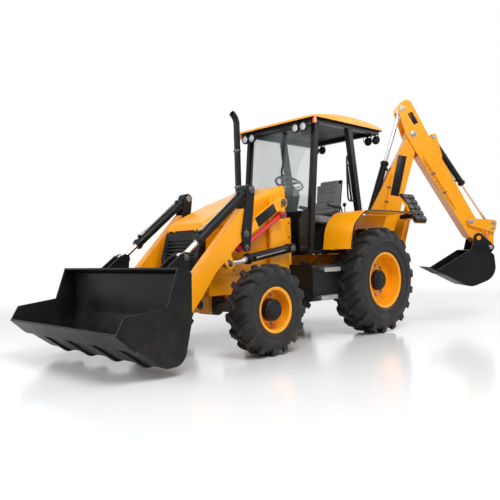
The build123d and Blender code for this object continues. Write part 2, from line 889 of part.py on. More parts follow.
# Steering wheel
column_radius = 24.0
wheel_tilt = Plane(
    origin=(datum_x + 690, datum_y, 2050), x_dir=(cos(radians(25)), 0, sin(radians(25))),
    z_dir=(-sin(radians(25)), 0, cos(radians(25))),
)
with BuildPart() as steering_wheel:
    with BuildSketch(Plane(origin=wheel_tilt.origin, x_dir=wheel_tilt.x_dir, z_dir=wheel_tilt.y_dir)):
        with Locations((190, 0)):
            RegularPolygon(16, 6)
    revolve(axis=Axis(wheel_tilt.origin, wheel_tilt.z_dir))
    with BuildSketch(wheel_tilt.offset(-12)):
        Circle(45)
        Rectangle(380, 32)
        Rectangle(32, 380)
    extrude(amount=20)
    with BuildSketch(wheel_tilt.offset(-12)):
        Circle(column_radius)
    extrude(amount=-210)
with BuildPart() as dash:
    add(dash_block.part)
    with BuildSketch(wheel_tilt):
        Circle(column_radius + pin_gap)
    extrude(amount=-240, mode=Mode.SUBTRACT)

# Seat stand with the side consoles
with BuildPart() as console:
    with BuildSketch(level(floor_top)):
        with Locations((60, 0)):
            Rectangle(420, 420)
        with Locations((20, 340), (20, -340)):
            Rectangle(560, 150)
        with Locations((20, 0)):
            Rectangle(200, 700)
    extrude(amount=360)

# Seat
with BuildPart() as seat:
    with BuildSketch(side(240)):
        with BuildLine():
            Polyline(
                (310, 1480), (330, 1590), (-60, 1575), (-150, 2150), (-260, 2150), (-190, 1480), close=True,
            )
        make_face()
    extrude(amount=480)

# Fenders over the rear wheels
with BuildPart() as fenders:
    with BuildSketch(side(1090)):
        with BuildLine():
            FilletPolyline((770, 1130), (690, 1612), (-745, 1612), radius=(380,))
            offset(amount=14, side=Side.RIGHT)
        make_face()
    extrude(amount=450)
    with BuildSketch(side(650)):
        with BuildLine():
            Polyline((600, 1120), (560, 1590), (-700, 1605), (-380, 1120), close=True)
        make_face()
    extrude(amount=10)
    mirror(about=middle)

# Tanks beside the frame with two steps each
with BuildPart() as side_tanks:
    with BuildSketch(level(500)):
        with Locations((1000, (rail_outer + tank_side) / 2)):
            Rectangle(500, tank_side - rail_outer)
    extrude(amount=450)
    fillet(side_tanks.edges().filter_by(Axis.X).group_by(Axis.Y)[-1], 50)
    for step_x, step_z in ((960, 880), (1030, 540)):
        with BuildSketch(level(step_z)):
            with Locations((step_x, tank_side + step_depth / 2 - 10)):
                Rectangle(step_width, step_depth + 20)
                with GridLocations(step_width - 90, 1, 2, 1):
                    Rectangle(30, step_depth + 20)
        extrude(amount=24)
        with BuildSketch(level(step_z + 24)):
            with Locations((step_x, tank_side + step_depth - 16)):
                with GridLocations(step_width / 9, 1, 9, 1):
                    Rectangle(16, 30)
        extrude(amount=12)
        with BuildSketch(side(tank_side + step_depth)):
            with Locations((step_x, step_z)):
                Rectangle(step_width, 40)
        extrude(amount=8)
    mirror(about=middle)

# Round lamp head on a stalk under the roof, with its face forward or back
def lamp_head(x, y, facing, top):
    with BuildPart() as head:
        for depth, share in ((0, 1.0), (26, 1.0), (58, 0.6), (66, 0.3)):
            with BuildSketch(across(x - depth * facing)):
                with Locations((y, lamp_z)):
                    RegularPolygon(lamp_radius * share, 16)
        loft(ruled=True)
        with BuildSketch(level(lamp_z)):
            with Locations((x - 30 * facing, y)):
                Circle(12)
        extrude(amount=top - lamp_z)
    return head.part


# Work lamps in pairs at the roof's corners, and an indicator beside the front ones
with BuildPart() as work_lamps:
    for lamp_y in (400, 535):
        add(lamp_head(992, lamp_y, 1, roof_under - 5.6))
        add(lamp_head(-596, lamp_y + 30, -1, roof_under))
    with BuildSketch(level(roof_under - 78)):
        with Locations((925, 672)):
            Circle(30)
    extrude(amount=78, taper=6)
    mirror(about=middle)

# Exhaust stack
with BuildPart() as exhaust:
    with BuildLine() as stack:
        rise = Polyline(
            (datum_x + stack_x, datum_y - engine_half, 1240), (datum_x + stack_x, datum_y + stack_y, 1240),
            (datum_x + stack_x, datum_y + stack_y, 2830),
        )
        TangentArc(rise @ 1, (datum_x + stack_x + 80, datum_y + stack_y, 2965), tangent=(0, 0, 1))
    with BuildSketch(Plane(origin=(datum_x + stack_x, datum_y - engine_half, 1240), z_dir=(0, -1, 0))):
        Circle(stack_radius)
    sweep(path=stack.wires()[0], transition=Transition.RIGHT)
    with BuildSketch(Plane(origin=stack.wires()[0] @ 1, z_dir=stack.wires()[0] % 1)):
        Circle(stack_radius - 5)
    extrude(amount=-60, mode=Mode.SUBTRACT)

# Rear frame: box, slew lugs with their pin, ears for legs and rams
with BuildPart() as rear_frame:
    with BuildSketch(level(450)):
        with Locations((-891, 0)):
            Rectangle(262, 680)
    extrude(amount=640)
    for lug in (480, 760):
        with BuildSketch(level(lug)):
            with Locations((slew_x, 0)):
                Circle(108)
            with Locations((-1120, 0)):
                Rectangle(220, 216)
        extrude(amount=50)
    with BuildSketch(level(470)):
        with Locations((slew_x, 0)):
            Circle(slew_pin_radius)
    extrude(amount=360)
    for ear_x in (leg_rear - 2 - 20, leg_front + 2):
        for hand in (1, -1):
            with BuildSketch(across(ear_x)):
                with Locations((hand * leg_pivot[0], leg_pivot[1])):
                    Circle(75)
                with Locations((hand * leg_ram_foot[0], leg_ram_foot[1])):
                    Circle(55)
                with Locations((hand * 320, 800)):
                    Rectangle(40, 560)
                make_hull()
            extrude(amount=20)
    for hand in (1, -1):
        with BuildSketch(across(leg_rear - 32)):
            with Locations((hand * leg_pivot[0], leg_pivot[1])):
                Circle(30)
            with Locations((hand * leg_ram_foot[0], leg_ram_foot[1])):
                Circle(24)
        extrude(amount=leg_front - leg_rear + 64)

# Left stabiliser leg with its foot: plate and two ribbed pads
foot_length = 500.0
foot_width = 300.0
foot_plane = Plane(
    origin=(datum_x - 1080, datum_y + 800, 1905),
    x_dir=(0, sin(radians(30)), -cos(radians(30))),
    z_dir=(1, 0, 0),
)
with BuildPart() as stabiliser_left:
    for cheek_x in (leg_rear, leg_front - 20):
        with BuildSketch(across(cheek_x)):
            with Locations(leg_pivot):
                Circle(68)
            with Locations(leg_ram_eye):
                Circle(50)
            with Locations(leg_tip):
                Circle(60)
            make_hull()
        extrude(amount=20)
    with BuildSketch(across(leg_rear)):
        with Locations(leg_pivot):
            Circle(62)
        with Locations(along(leg_pivot, leg_tip, 700), leg_tip):
            Circle(55)
    extrude(amount=leg_front - leg_rear)
    with BuildSketch(across(leg_rear)):
        with Locations(along(leg_pivot, leg_tip, 700), leg_tip):
            Circle(52)
        make_hull()
    extrude(amount=leg_front - leg_rear)
    with BuildSketch(across(leg_rear)):
        with Locations(leg_pivot):
            Circle(30 + pin_gap)
    extrude(amount=leg_front - leg_rear, mode=Mode.SUBTRACT)
    with BuildSketch(foot_plane):
        with Locations((foot_length / 2, 11)):
            Rectangle(foot_length, 22)
        with Locations((foot_length / 2, 32)):
            Rectangle(foot_length - 30, 24)
        with Locations((foot_length / 2, 49)):
            with GridLocations(94, 1, 5, 1):
                Rectangle(62, 16)
    extrude(amount=foot_width)
    with BuildSketch(foot_plane.offset(foot_width / 2 - 15)):
        with Locations((foot_length / 2, 50)):
            Rectangle(foot_length + 20, 44)
    extrude(amount=30, mode=Mode.SUBTRACT)
    with BuildSketch(across(leg_rear)):
        with BuildLine():
            Polyline(leg_tip, (870, 1800), (980, 1580), (820, 1510), close=True)
        make_face()
    extrude(amount=leg_front - leg_rear)
with BuildPart() as stabiliser_right:
    add(mirror(stabiliser_left.part, about=middle, mode=Mode.PRIVATE))

# Stabiliser rams
leg_middle = (leg_front + leg_rear) / 2
leg_ram_barrel = ram_barrel(across(leg_middle), leg_ram_foot, leg_ram_eye, 430, 40, 22, 70, 24, 375)
leg_ram_rod = ram_rod(across(leg_middle), leg_ram_foot, leg_ram_eye, 66, 22, 50 - side_gap, 40)
with BuildPart() as leg_barrel_left:
    add(leg_ram_barrel)
with BuildPart() as leg_barrel_right:
    add(mirror(leg_ram_barrel, about=middle, mode=Mode.PRIVATE))
with BuildPart() as leg_rod_left:
    add(leg_ram_rod)
with BuildPart() as leg_rod_right:
    add(mirror(leg_ram_rod, about=middle, mode=Mode.PRIVATE))

# Kingpost: tube on the slew pin, cheeks for the boom foot, ears for its ram
post_cheek = boom_half + 5
with BuildPart() as kingpost:
    with BuildSketch(digger(0)):
        with Locations((15, 645)):
            Rectangle(240, 226)
    extrude(amount=post_cheek + 35, both=True)
    with BuildSketch(digger(0)):
        with Locations((0, 887)):
            Rectangle(120, 146)
    extrude(amount=post_cheek + 35, both=True)
    for cheek_n in (post_cheek, -post_cheek - 35):
        with BuildSketch(digger(cheek_n)):
            with Locations((70, 887)):
                Rectangle(260, 146)
            with Locations((170, 745)):
                Rectangle(100, 420)
            with Locations(boom_foot):
                Circle(92)
        extrude(amount=35)
    with BuildSketch(digger(0)):
        with Locations(boom_foot):
            Circle(40)
    extrude(amount=post_cheek + 35, both=True)
    for ear_n in (62, -88):
        with BuildSketch(digger(ear_n)):
            with Locations(boom_ram_foot):
                Circle(55)
            with Locations((10, 940)):
                Rectangle(100, 40)
            make_hull()
        extrude(amount=26)
    with BuildSketch(digger(0)):
        with Locations(boom_ram_foot):
            Circle(28)
    extrude(amount=88, both=True)
    with BuildSketch(level(450)):
        with Locations((slew_x, 0)):
            Circle(slew_pin_radius + pin_gap)
    extrude(amount=385, mode=Mode.SUBTRACT)

# Boom: two cheeks round its ram, open before the rod's eye and boxed above
boom_outline = [
    (146, 930), (-90, 1560), (-86, 1640), (4, 1779), (570, 2860), (785, 2900), (699, 2617), (504, 1931),
    (400, 1450), (318, 880),
]
with BuildPart() as boom:
    with BuildSketch(digger(0)):
        with BuildLine():
            Polyline(*boom_outline, close=True)
        make_face()
        with Locations(boom_foot):
            Circle(88)
        with Locations(boom_head):
            Circle(112)
    extrude(amount=boom_half, both=True)
    with BuildSketch(digger(0)):
        with BuildLine():
            Polyline(
                (60, 700), (-400, 1500), (-300, 2000), (150, 2330), (330, 2420), (640, 2330), (585, 1925),
                (480, 1590), (392, 1575), (366, 1450), (270, 1180), (400, 850), (320, 700), close=True,
            )
        make_face()
    extrude(amount=boom_half - boom_plate, both=True, mode=Mode.SUBTRACT)
    with BuildSketch(digger(0)):
        with Locations(boom_foot):
            Circle(40 + pin_gap)
    extrude(amount=boom_half, both=True, mode=Mode.SUBTRACT)
    with BuildSketch(digger(0)):
        with Locations(dipper_ram_foot):
            Circle(30)
    extrude(amount=boom_half, both=True)
    with BuildSketch(digger(0)):
        with Locations(boom_head):
            Circle(42)
    extrude(amount=dipper_half + 8, both=True)

# Dipper: forked round the boom head, boxed below, with ears for the bucket ram
dipper_outline = [
    (440, 3300), (470, 3400), (560, 3455), (640, 3430), (860, 2990), (1690, 1440), (1704, 1290), (1640, 1198),
    (1520, 1281), (648, 2743), (565, 2900),
]
with BuildPart() as dipper:
    with BuildSketch(digger(0)):
        with BuildLine():
            Polyline(*dipper_outline, close=True)
        make_face()
        with Locations(dig_pivot):
            Circle(62)
        with Locations(dipper_tail):
            Circle(66)
    extrude(amount=dipper_half, both=True)
    with BuildSketch(digger(0)):
        with BuildLine():
            Polyline(
                (380, 3500), (640, 3500), (1000, 2900), (960, 2710), (720, 2560), (400, 2700), close=True,
            )
        make_face()
    extrude(amount=dipper_half - dipper_plate, both=True, mode=Mode.SUBTRACT)
    for ear_n in (62, -86):
        with BuildSketch(digger(ear_n)):
            with Locations(dig_ram_foot):
                Circle(56)
            with Locations((980, 2660)):
                Circle(30)
            with Locations((1110, 2560)):
                Circle(30)
            make_hull()
        extrude(amount=24)
    with BuildSketch(digger(0)):
        with Locations(dig_ram_foot):
            Circle(28)
    extrude(amount=86, both=True)
    with BuildSketch(digger(0)):
        with Locations(boom_head):
            Circle(42 + pin_gap)
    extrude(amount=dipper_half + 10, both=True, mode=Mode.SUBTRACT)
    with BuildSketch(digger(0)):
        with Locations(dig_lever_pivot):
            Circle(50)
    extrude(amount=185, both=True)
    with BuildSketch(digger(0)):
        with Locations(dig_lever_pivot):
            Circle(30)
    extrude(amount=212, both=True)
    with BuildSketch(digger(0)):
        with Locations(dig_pivot):
            Circle(35)
    extrude(amount=186, both=True)

# Tipping lever of the digging bucket: two cheeks with bosses for the rod's eye
link_inner = 118.0
dig_boss = 111.0
with BuildPart() as dig_lever:
    for cheek_n in (186, -206):
        with BuildSketch(digger(cheek_n)):
            with Locations(dig_lever_pivot):
                Circle(58)
            with Locations(dig_ram_eye):
                Circle(50)
            with Locations(dig_link_head):
                Circle(50)
            make_hull()
            with Locations(dig_lever_pivot):
                Circle(30 + pin_gap, mode=Mode.SUBTRACT)
        extrude(amount=20)
    for pin_n in (link_inner, -206):
        with BuildSketch(digger(pin_n)):
            with Locations(dig_link_head):
                Circle(28)
        extrude(amount=206 - link_inner)
    for boss_n in (dig_boss, -206):
        with BuildSketch(digger(boss_n)):
            with Locations(dig_ram_eye):
                Circle(38)
        extrude(amount=206 - dig_boss)

# Tipping link
with BuildPart() as dig_link:
    for cheek_n in (link_inner, -link_inner - 36 + side_gap):
        with BuildSketch(digger(cheek_n)):
            with Locations(dig_link_head, dig_link_eye):
                Circle(44)
            make_hull()
        extrude(amount=36 - side_gap)
    with BuildSketch(digger(0)):
        with Locations(dig_link_eye):
            Circle(40)
    extrude(amount=link_inner + 2, both=True)
    with BuildSketch(digger(0)):
        with Locations(dig_link_head):
            Circle(28 + pin_gap)
    extrude(amount=160, both=True, mode=Mode.SUBTRACT)

# Digging bucket: rolled shell, sides, ears and teeth
dig_line = [(1480, 1075), (1845, 1010), (1885, 640), (1480, 480), (960, 760)]
with BuildPart() as dig_bucket:
    with BuildSketch(digger(-dig_half)):
        with BuildLine():
            FilletPolyline(*dig_line, radius=(70, 240, 220))
            offset(amount=dig_plate, side=Side.RIGHT)
        make_face()
    extrude(amount=2 * dig_half)
    for plate_n in (-dig_half, dig_half - dig_plate):
        with BuildSketch(digger(plate_n)):
            with BuildLine():
                FilletPolyline(*dig_line, radius=(70, 240, 220))
                Line((960, 760), (1480, 1075))
            make_face()
        extrude(amount=dig_plate)
    for ear_n in (155, -180):
        with BuildSketch(digger(ear_n)):
            with Locations(dig_pivot):
                Circle(74)
            with Locations(dig_link_eye):
                Circle(50)
            with Locations((1560, 1070), (1820, 1010)):
                Circle(20)
            make_hull()
            with Locations(dig_pivot):
                Circle(35 + pin_gap, mode=Mode.SUBTRACT)
        extrude(amount=25)
    for tooth in range(5):
        with BuildSketch(digger(-dig_half + tooth * (2 * dig_half - 60) / 4)):
            with BuildLine():
                Polyline((1070, 690), (855, 806), (848, 822), (1000, 762), (1085, 716), close=True)
            make_face()
        extrude(amount=60)

# Backhoe rams
with BuildPart() as boom_barrel:
    add(ram_barrel(digger(0), boom_ram_foot, boom_ram_eye, 690, 50, 30, 60, 28, 630))
with BuildPart() as boom_rod:
    add(ram_rod(digger(0), boom_ram_foot, boom_ram_eye, 125, 30, boom_half - boom_plate - side_gap, 46))
with BuildPart() as dipper_barrel:
    add(ram_barrel(
        digger(0), dipper_ram_foot, dipper_tail, 960, 54, 32, boom_half - boom_plate - side_gap, 30, 890,
    ))
with BuildPart() as dipper_rod:
    add(ram_rod(digger(0), dipper_ram_foot, dipper_tail, 850, 32, dipper_half - dipper_plate - side_gap, 54))
with BuildPart() as dig_barrel:
    add(ram_barrel(digger(0), dig_ram_foot, dig_ram_eye, 890, 46, 27, 60, 28, 800))
with BuildPart() as dig_rod:
    add(ram_rod(digger(0), dig_ram_foot, dig_ram_eye, 640, 27, dig_boss - side_gap, 44))

# Names and files
pieces = {
    "main_frame": main_frame, "front_axle": front_axle, "rear_axle": rear_axle, "engine": engine,
    "grille": grille, "side_panels": side_panels, "cab_floor": cab_floor, "side_tanks": side_tanks,
    "canopy_frame": canopy_frame, "roof": roof, "windscreen": windscreen, "dash": dash,
    "steering_wheel": steering_wheel, "console": console, "seat": seat, "fenders": fenders,
    "work_lamps": work_lamps, "exhaust": exhaust, "rear_frame": rear_frame, "bonnet": bonnet,
    "loader_arms": loader_arms, "tilt_levers": tilt_levers, "levelling_links": levelling_links,
    "bucket_pins": bucket_pins, "tilt_pins": tilt_pins, "loader_bucket": loader_bucket,
    "lift_barrels": lift_barrels,
    "lift_rods": lift_rods, "tilt_barrels": tilt_barrels, "tilt_rods": tilt_rods,
    "knuckle_left": knuckle_left, "knuckle_right": knuckle_right, "track_rod": track_rod,
    "front_rim_left": front_rim_left, "front_rim_right": front_rim_right,
    "front_tyre_left": front_tyre_left, "front_tyre_right": front_tyre_right,
    "rear_rim_left": rear_rim_left, "rear_rim_right": rear_rim_right,
    "rear_tyre_left": rear_tyre_left, "rear_tyre_right": rear_tyre_right,
    "kingpost": kingpost, "boom": boom, "dipper": dipper, "dig_bucket": dig_bucket,
    "dig_lever": dig_lever, "dig_link": dig_link, "boom_barrel": boom_barrel, "boom_rod": boom_rod,
    "dipper_barrel": dipper_barrel, "dipper_rod": dipper_rod, "dig_barrel": dig_barrel, "dig_rod": dig_rod,
    "stabiliser_left": stabiliser_left, "stabiliser_right": stabiliser_right,
    "leg_barrel_left": leg_barrel_left, "leg_barrel_right": leg_barrel_right,
    "leg_rod_left": leg_rod_left, "leg_rod_right": leg_rod_right,
}
for name, piece in pieces.items():
    piece.part.label = name
    export_step(piece.part, "parts/" + name + ".step")
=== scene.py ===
import math
import bmesh
import bpy
from mathutils.bvhtree import BVHTree
from mathutils import Matrix, Vector


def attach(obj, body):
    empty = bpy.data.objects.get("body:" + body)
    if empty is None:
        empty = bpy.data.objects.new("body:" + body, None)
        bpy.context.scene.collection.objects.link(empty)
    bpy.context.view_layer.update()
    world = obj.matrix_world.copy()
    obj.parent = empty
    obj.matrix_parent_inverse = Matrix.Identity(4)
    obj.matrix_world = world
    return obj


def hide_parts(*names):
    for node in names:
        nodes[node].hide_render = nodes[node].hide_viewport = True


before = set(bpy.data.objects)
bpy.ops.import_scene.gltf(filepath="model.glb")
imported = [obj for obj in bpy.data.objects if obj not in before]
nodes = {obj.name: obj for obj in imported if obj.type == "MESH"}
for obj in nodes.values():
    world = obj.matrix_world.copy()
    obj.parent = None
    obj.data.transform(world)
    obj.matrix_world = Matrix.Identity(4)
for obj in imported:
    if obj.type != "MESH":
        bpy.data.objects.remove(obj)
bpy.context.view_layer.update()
print("frame loaded:", len(nodes), "nodes")

datum = Vector((-0.682, -0.208, 0.0))  # rear axle over the ground
armTurn = math.radians(45)
armOut = Vector((-math.cos(armTurn), math.sin(armTurn), 0))
armSide = Vector((math.sin(armTurn), math.cos(armTurn), 0))
sides = (1, -1)  # left and right


def at(x, y, z):  # millimetres from the rear axle to metres in the frame
    return Vector((x, y, z)) / 1000 + datum


def onArm(reach, aside, z):  # millimetres in the backhoe's own plane
    return at(-1230, 0, z) + (armOut * reach + armSide * aside) / 1000


# scene, camera and light
cameraSet = {
    "place": (6631.2, 5359.8, 1106.1), "yaw": -2.336, "pitch": -0.033, "roll": -0.029,
    "focalPixels": 578.07, "shift": 0.0458,
}
lightSet = {
    "key": {"place": (3600, 5200, 6800), "aim": (900, 0, 800), "size": 5.0, "power": 500},
    "rim": {"place": (-5200, 3000, 5200), "aim": (-600, 300, 1200), "size": 4.0, "power": 150},
    "front": {"place": (8200, -1500, 3200), "aim": (2600, 0, 700), "size": 4.5, "power": 240},
}
sky = {"fill": 0.50, "seen": 1.0, "low": (0.62, 0.63, 0.65, 1), "high": (1, 1, 1, 1)}
floorSet = {"half": 60.0, "color": (0.86, 0.87, 0.88, 1), "speck": (0.8, 0.81, 0.82, 1), "rough": 0.16,
            "fadeFrom": 4.5, "fadeTo": 11.0}

scene = bpy.context.scene
scene.view_settings.view_transform = "Standard"


def setCamera(spec):
    yaw, pitch, roll = spec["yaw"], spec["pitch"], spec["roll"]
    look = Vector((math.cos(pitch) * math.cos(yaw), math.cos(pitch) * math.sin(yaw), math.sin(pitch)))
    right = Vector((math.sin(yaw), -math.cos(yaw), 0))
    up = right.cross(look)
    rightRolled = right * math.cos(roll) + up * math.sin(roll)
    upRolled = up * math.cos(roll) - right * math.sin(roll)
    turn = Matrix((rightRolled, upRolled, -look)).transposed().to_4x4()
    data = bpy.data.cameras.new("photoCamera")
    data.sensor_width = 36
    data.lens = spec["focalPixels"] / 500 * 36
    data.shift_y = spec["shift"]
    data.clip_end = 300
    camera = bpy.data.objects.new("photoCamera", data)
    scene.collection.objects.link(camera)
    camera.matrix_world = Matrix.Translation(at(*spec["place"])) @ turn
    scene.camera = camera


def addLamp(name, spec):
    data = bpy.data.lights.new(name, "AREA")
    data.shape = "DISK"
    data.size = spec["size"]
    data.energy = spec["power"]
    lamp = bpy.data.objects.new(name, data)
    scene.collection.objects.link(lamp)
    place = at(*spec["place"])
    lamp.location = place
    lamp.rotation_euler = (at(*spec["aim"]) - place).to_track_quat("-Z", "Y").to_euler()


setCamera(cameraSet)
for lampName, lampSpec in lightSet.items():
    addLamp(lampName + "Light", lampSpec)


# small tools for node trees
def node(tree, kind, x=0, y=0, **values):
    made = tree.nodes.new(kind)
    made.location = (x, y)
    for key, value in values.items():
        setattr(made, key, value)
    return made


def put(tree, source, target):
    tree.links.new(source, target)


def setInputs(made, values):  # fixed values on a node's own sockets
    for key, value in values.items():
        made.inputs[key].default_value = value


def feed(tree, socket, value):  # a link or a fixed value
    if hasattr(value, "is_output"):
        put(tree, value, socket)
    else:
        socket.default_value = value


def math2(tree, kind, first, second, clamp=False):
    made = node(tree, "ShaderNodeMath", operation=kind, use_clamp=clamp)
    feed(tree, made.inputs[0], first)
    feed(tree, made.inputs[1], second)
    return made.outputs[0]


def mixColor(tree, amount, first, second):
    made = node(tree, "ShaderNodeMix", data_type="RGBA")
    for socket, value in ((0, amount), (6, first), (7, second)):
        feed(tree, made.inputs[socket], value)
    return made.outputs[2]


def ramp(tree, source, low, high):  # soft step from low to high
    made = node(tree, "ShaderNodeMapRange", interpolation_type="SMOOTHSTEP")
    put(tree, source, made.inputs["Value"])
    setInputs(made, {"From Min": low, "From Max": high})
    return made.outputs["Result"]


def spread(tree, source, low, high):  # lays 0 to 1 over a range
    made = node(tree, "ShaderNodeMapRange", -500, -100)
    put(tree, source, made.inputs["Value"])
    setInputs(made, {"To Min": low, "To Max": high})
    return made.outputs["Result"]


def noise(tree, vector, scale, detail=3.0, rough=0.55):
    made = node(tree, "ShaderNodeTexNoise")
    feed(tree, made.inputs["Scale"], scale)
    setInputs(made, {"Detail": detail, "Roughness": rough})
    put(tree, vector, made.inputs["Vector"])
    return made.outputs["Fac"]


def relief(tree, height, strength, distance):  # bump on the shader's normal
    made = node(tree, "ShaderNodeBump", -100, -300)
    setInputs(made, {"Strength": strength, "Distance": distance})
    put(tree, height, made.inputs["Height"])
    put(tree, made.outputs["Normal"], tree.nodes["Principled BSDF"].inputs["Normal"])
    return made


def newFinish(name):
    made = bpy.data.materials.new(name)
    made.use_nodes = True
    return made, made.node_tree, made.node_tree.nodes["Principled BSDF"]


def tinted(color, share=1.0):
    return (*[c * share for c in color], 1)


def newGroup(name, inputs, outputs):
    group = bpy.data.node_groups.new(name, "ShaderNodeTree")
    for label, kind, value in inputs:
        socket = group.interface.new_socket(label, in_out="INPUT", socket_type=kind)
        if value is not None:
            socket.default_value = value
    for label, kind in outputs:
        group.interface.new_socket(label, in_out="OUTPUT", socket_type=kind)
    return group, node(group, "NodeGroupInput", -900), node(group, "NodeGroupOutput", 600)


# shared effects
def makeRubGroup():  # bright rubbed edges, broken up by noise
    group, given, out = newGroup(
        "edgeRub", [("Width", "NodeSocketFloat", 0.006), ("Break", "NodeSocketFloat", 18.0),
                    ("Amount", "NodeSocketFloat", 0.5)], [("Mask", "NodeSocketFloat")])
    soft = node(group, "ShaderNodeBevel", samples=4)
    put(group, given.outputs["Width"], soft.inputs["Radius"])
    place = node(group, "ShaderNodeTexCoord")
    hard = node(group, "ShaderNodeNewGeometry")
    match = node(group, "ShaderNodeVectorMath", operation="DOT_PRODUCT")
    put(group, soft.outputs["Normal"], match.inputs[0])
    put(group, hard.outputs["Normal"], match.inputs[1])
    bend = math2(group, "SUBTRACT", 1.0, match.outputs["Value"])
    edge = ramp(group, bend, 0.02, 0.16)
    spots = ramp(group, noise(group, place.outputs["Object"], given.outputs["Break"], 6.0, 0.7), 0.45, 0.66)
    mask = math2(group, "MULTIPLY", math2(group, "MULTIPLY", edge, spots), given.outputs["Amount"], True)
    put(group, mask, out.inputs["Mask"])
    return group


def makeDustGroup():  # pale dust where a surface faces up and near the ground
    group, given, out = newGroup(
        "siteDust", [("Color", "NodeSocketColor", (1, 1, 1, 1)), ("Dust", "NodeSocketColor", (0.45, 0.37, 0.27, 1)),
                     ("Top", "NodeSocketFloat", 0.1), ("Low", "NodeSocketFloat", 0.2)],
        [("Color", "NodeSocketColor"), ("Mask", "NodeSocketFloat")])
    place = node(group, "ShaderNodeTexCoord")
    split = node(group, "ShaderNodeSeparateXYZ")
    put(group, place.outputs["Object"], split.inputs[0])
    face = node(group, "ShaderNodeNewGeometry")
    faceSplit = node(group, "ShaderNodeSeparateXYZ")
    put(group, face.outputs["Normal"], faceSplit.inputs[0])
    cloud = noise(group, place.outputs["Object"], 5.0, 6.0, 0.65)
    fine = noise(group, place.outputs["Object"], 60.0, 3.0, 0.6)
    top = math2(group, "MULTIPLY", ramp(group, faceSplit.outputs["Z"], 0.55, 1.0), given.outputs["Top"])
    low = math2(group, "MULTIPLY", ramp(group, split.outputs["Z"], 1.0, 0.05), given.outputs["Low"])
    both = math2(group, "ADD", top, low)
    speckle = math2(group, "ADD", 0.55, math2(group, "MULTIPLY", fine, 0.6))
    broken = math2(group, "MULTIPLY", ramp(group, cloud, 0.35, 0.7), speckle)
    mask = math2(group, "MULTIPLY", both, broken, True)
    put(group, mixColor(group, mask, given.outputs["Color"], given.outputs["Dust"]), out.inputs["Color"])
    put(group, mask, out.inputs["Mask"])
    return group


def makeToneGroup():  # slow drift of tone and a fine mottling
    group, given, out = newGroup(
        "toneDrift", [("Color", "NodeSocketColor", (1, 1, 1, 1)), ("Shade", "NodeSocketColor", (0.5, 0.5, 0.5, 1)),
                      ("Scale", "NodeSocketFloat", 2.2), ("Fine", "NodeSocketFloat", 90.0),
                      ("Amount", "NodeSocketFloat", 0.25)],
        [("Color", "NodeSocketColor"), ("Cloud", "NodeSocketFloat"), ("Fine", "NodeSocketFloat")])
    place = node(group, "ShaderNodeTexCoord")
    slow = noise(group, place.outputs["Object"], given.outputs["Scale"], 4.0, 0.5)
    fine = noise(group, place.outputs["Object"], given.outputs["Fine"], 2.0, 0.5)
    drift = math2(group, "MULTIPLY", ramp(group, slow, 0.3, 0.75), given.outputs["Amount"])
    half = math2(group, "MULTIPLY", given.outputs["Amount"], 0.5)
    speck = math2(group, "MULTIPLY", ramp(group, fine, 0.5, 0.9), half)
    both = math2(group, "ADD", drift, speck, True)
    put(group, mixColor(group, both, given.outputs["Color"], given.outputs["Shade"]), out.inputs["Color"])
    put(group, slow, out.inputs["Cloud"])
    put(group, fine, out.inputs["Fine"])
    return group


def makeScratchGroup():  # long scrapes along one direction
    group, given, out = newGroup(
        "scrapes", [("Stretch", "NodeSocketVector", (2.0, 40.0, 40.0)), ("Scale", "NodeSocketFloat", 6.0)],
        [("Mask", "NodeSocketFloat"), ("Height", "NodeSocketFloat")])
    place = node(group, "ShaderNodeTexCoord")
    pull = node(group, "ShaderNodeVectorMath", operation="MULTIPLY")
    put(group, place.outputs["Object"], pull.inputs[0])
    put(group, given.outputs["Stretch"], pull.inputs[1])
    lines = noise(group, pull.outputs[0], given.outputs["Scale"], 5.0, 0.6)
    patch = noise(group, place.outputs["Object"], 3.0, 3.0, 0.5)
    mask = math2(group, "MULTIPLY", ramp(group, lines, 0.56, 0.74), ramp(group, patch, 0.4, 0.65), True)
    put(group, mask, out.inputs["Mask"])
    put(group, lines, out.inputs["Height"])
    return group


effects = {"rub": makeRubGroup(), "dust": makeDustGroup(), "tone": makeToneGroup(), "scrape": makeScratchGroup()}


def effect(tree, name, x, y, **values):
    made = node(tree, "ShaderNodeGroup", x, y)
    made.node_tree = effects[name]
    setInputs(made, values)
    return made


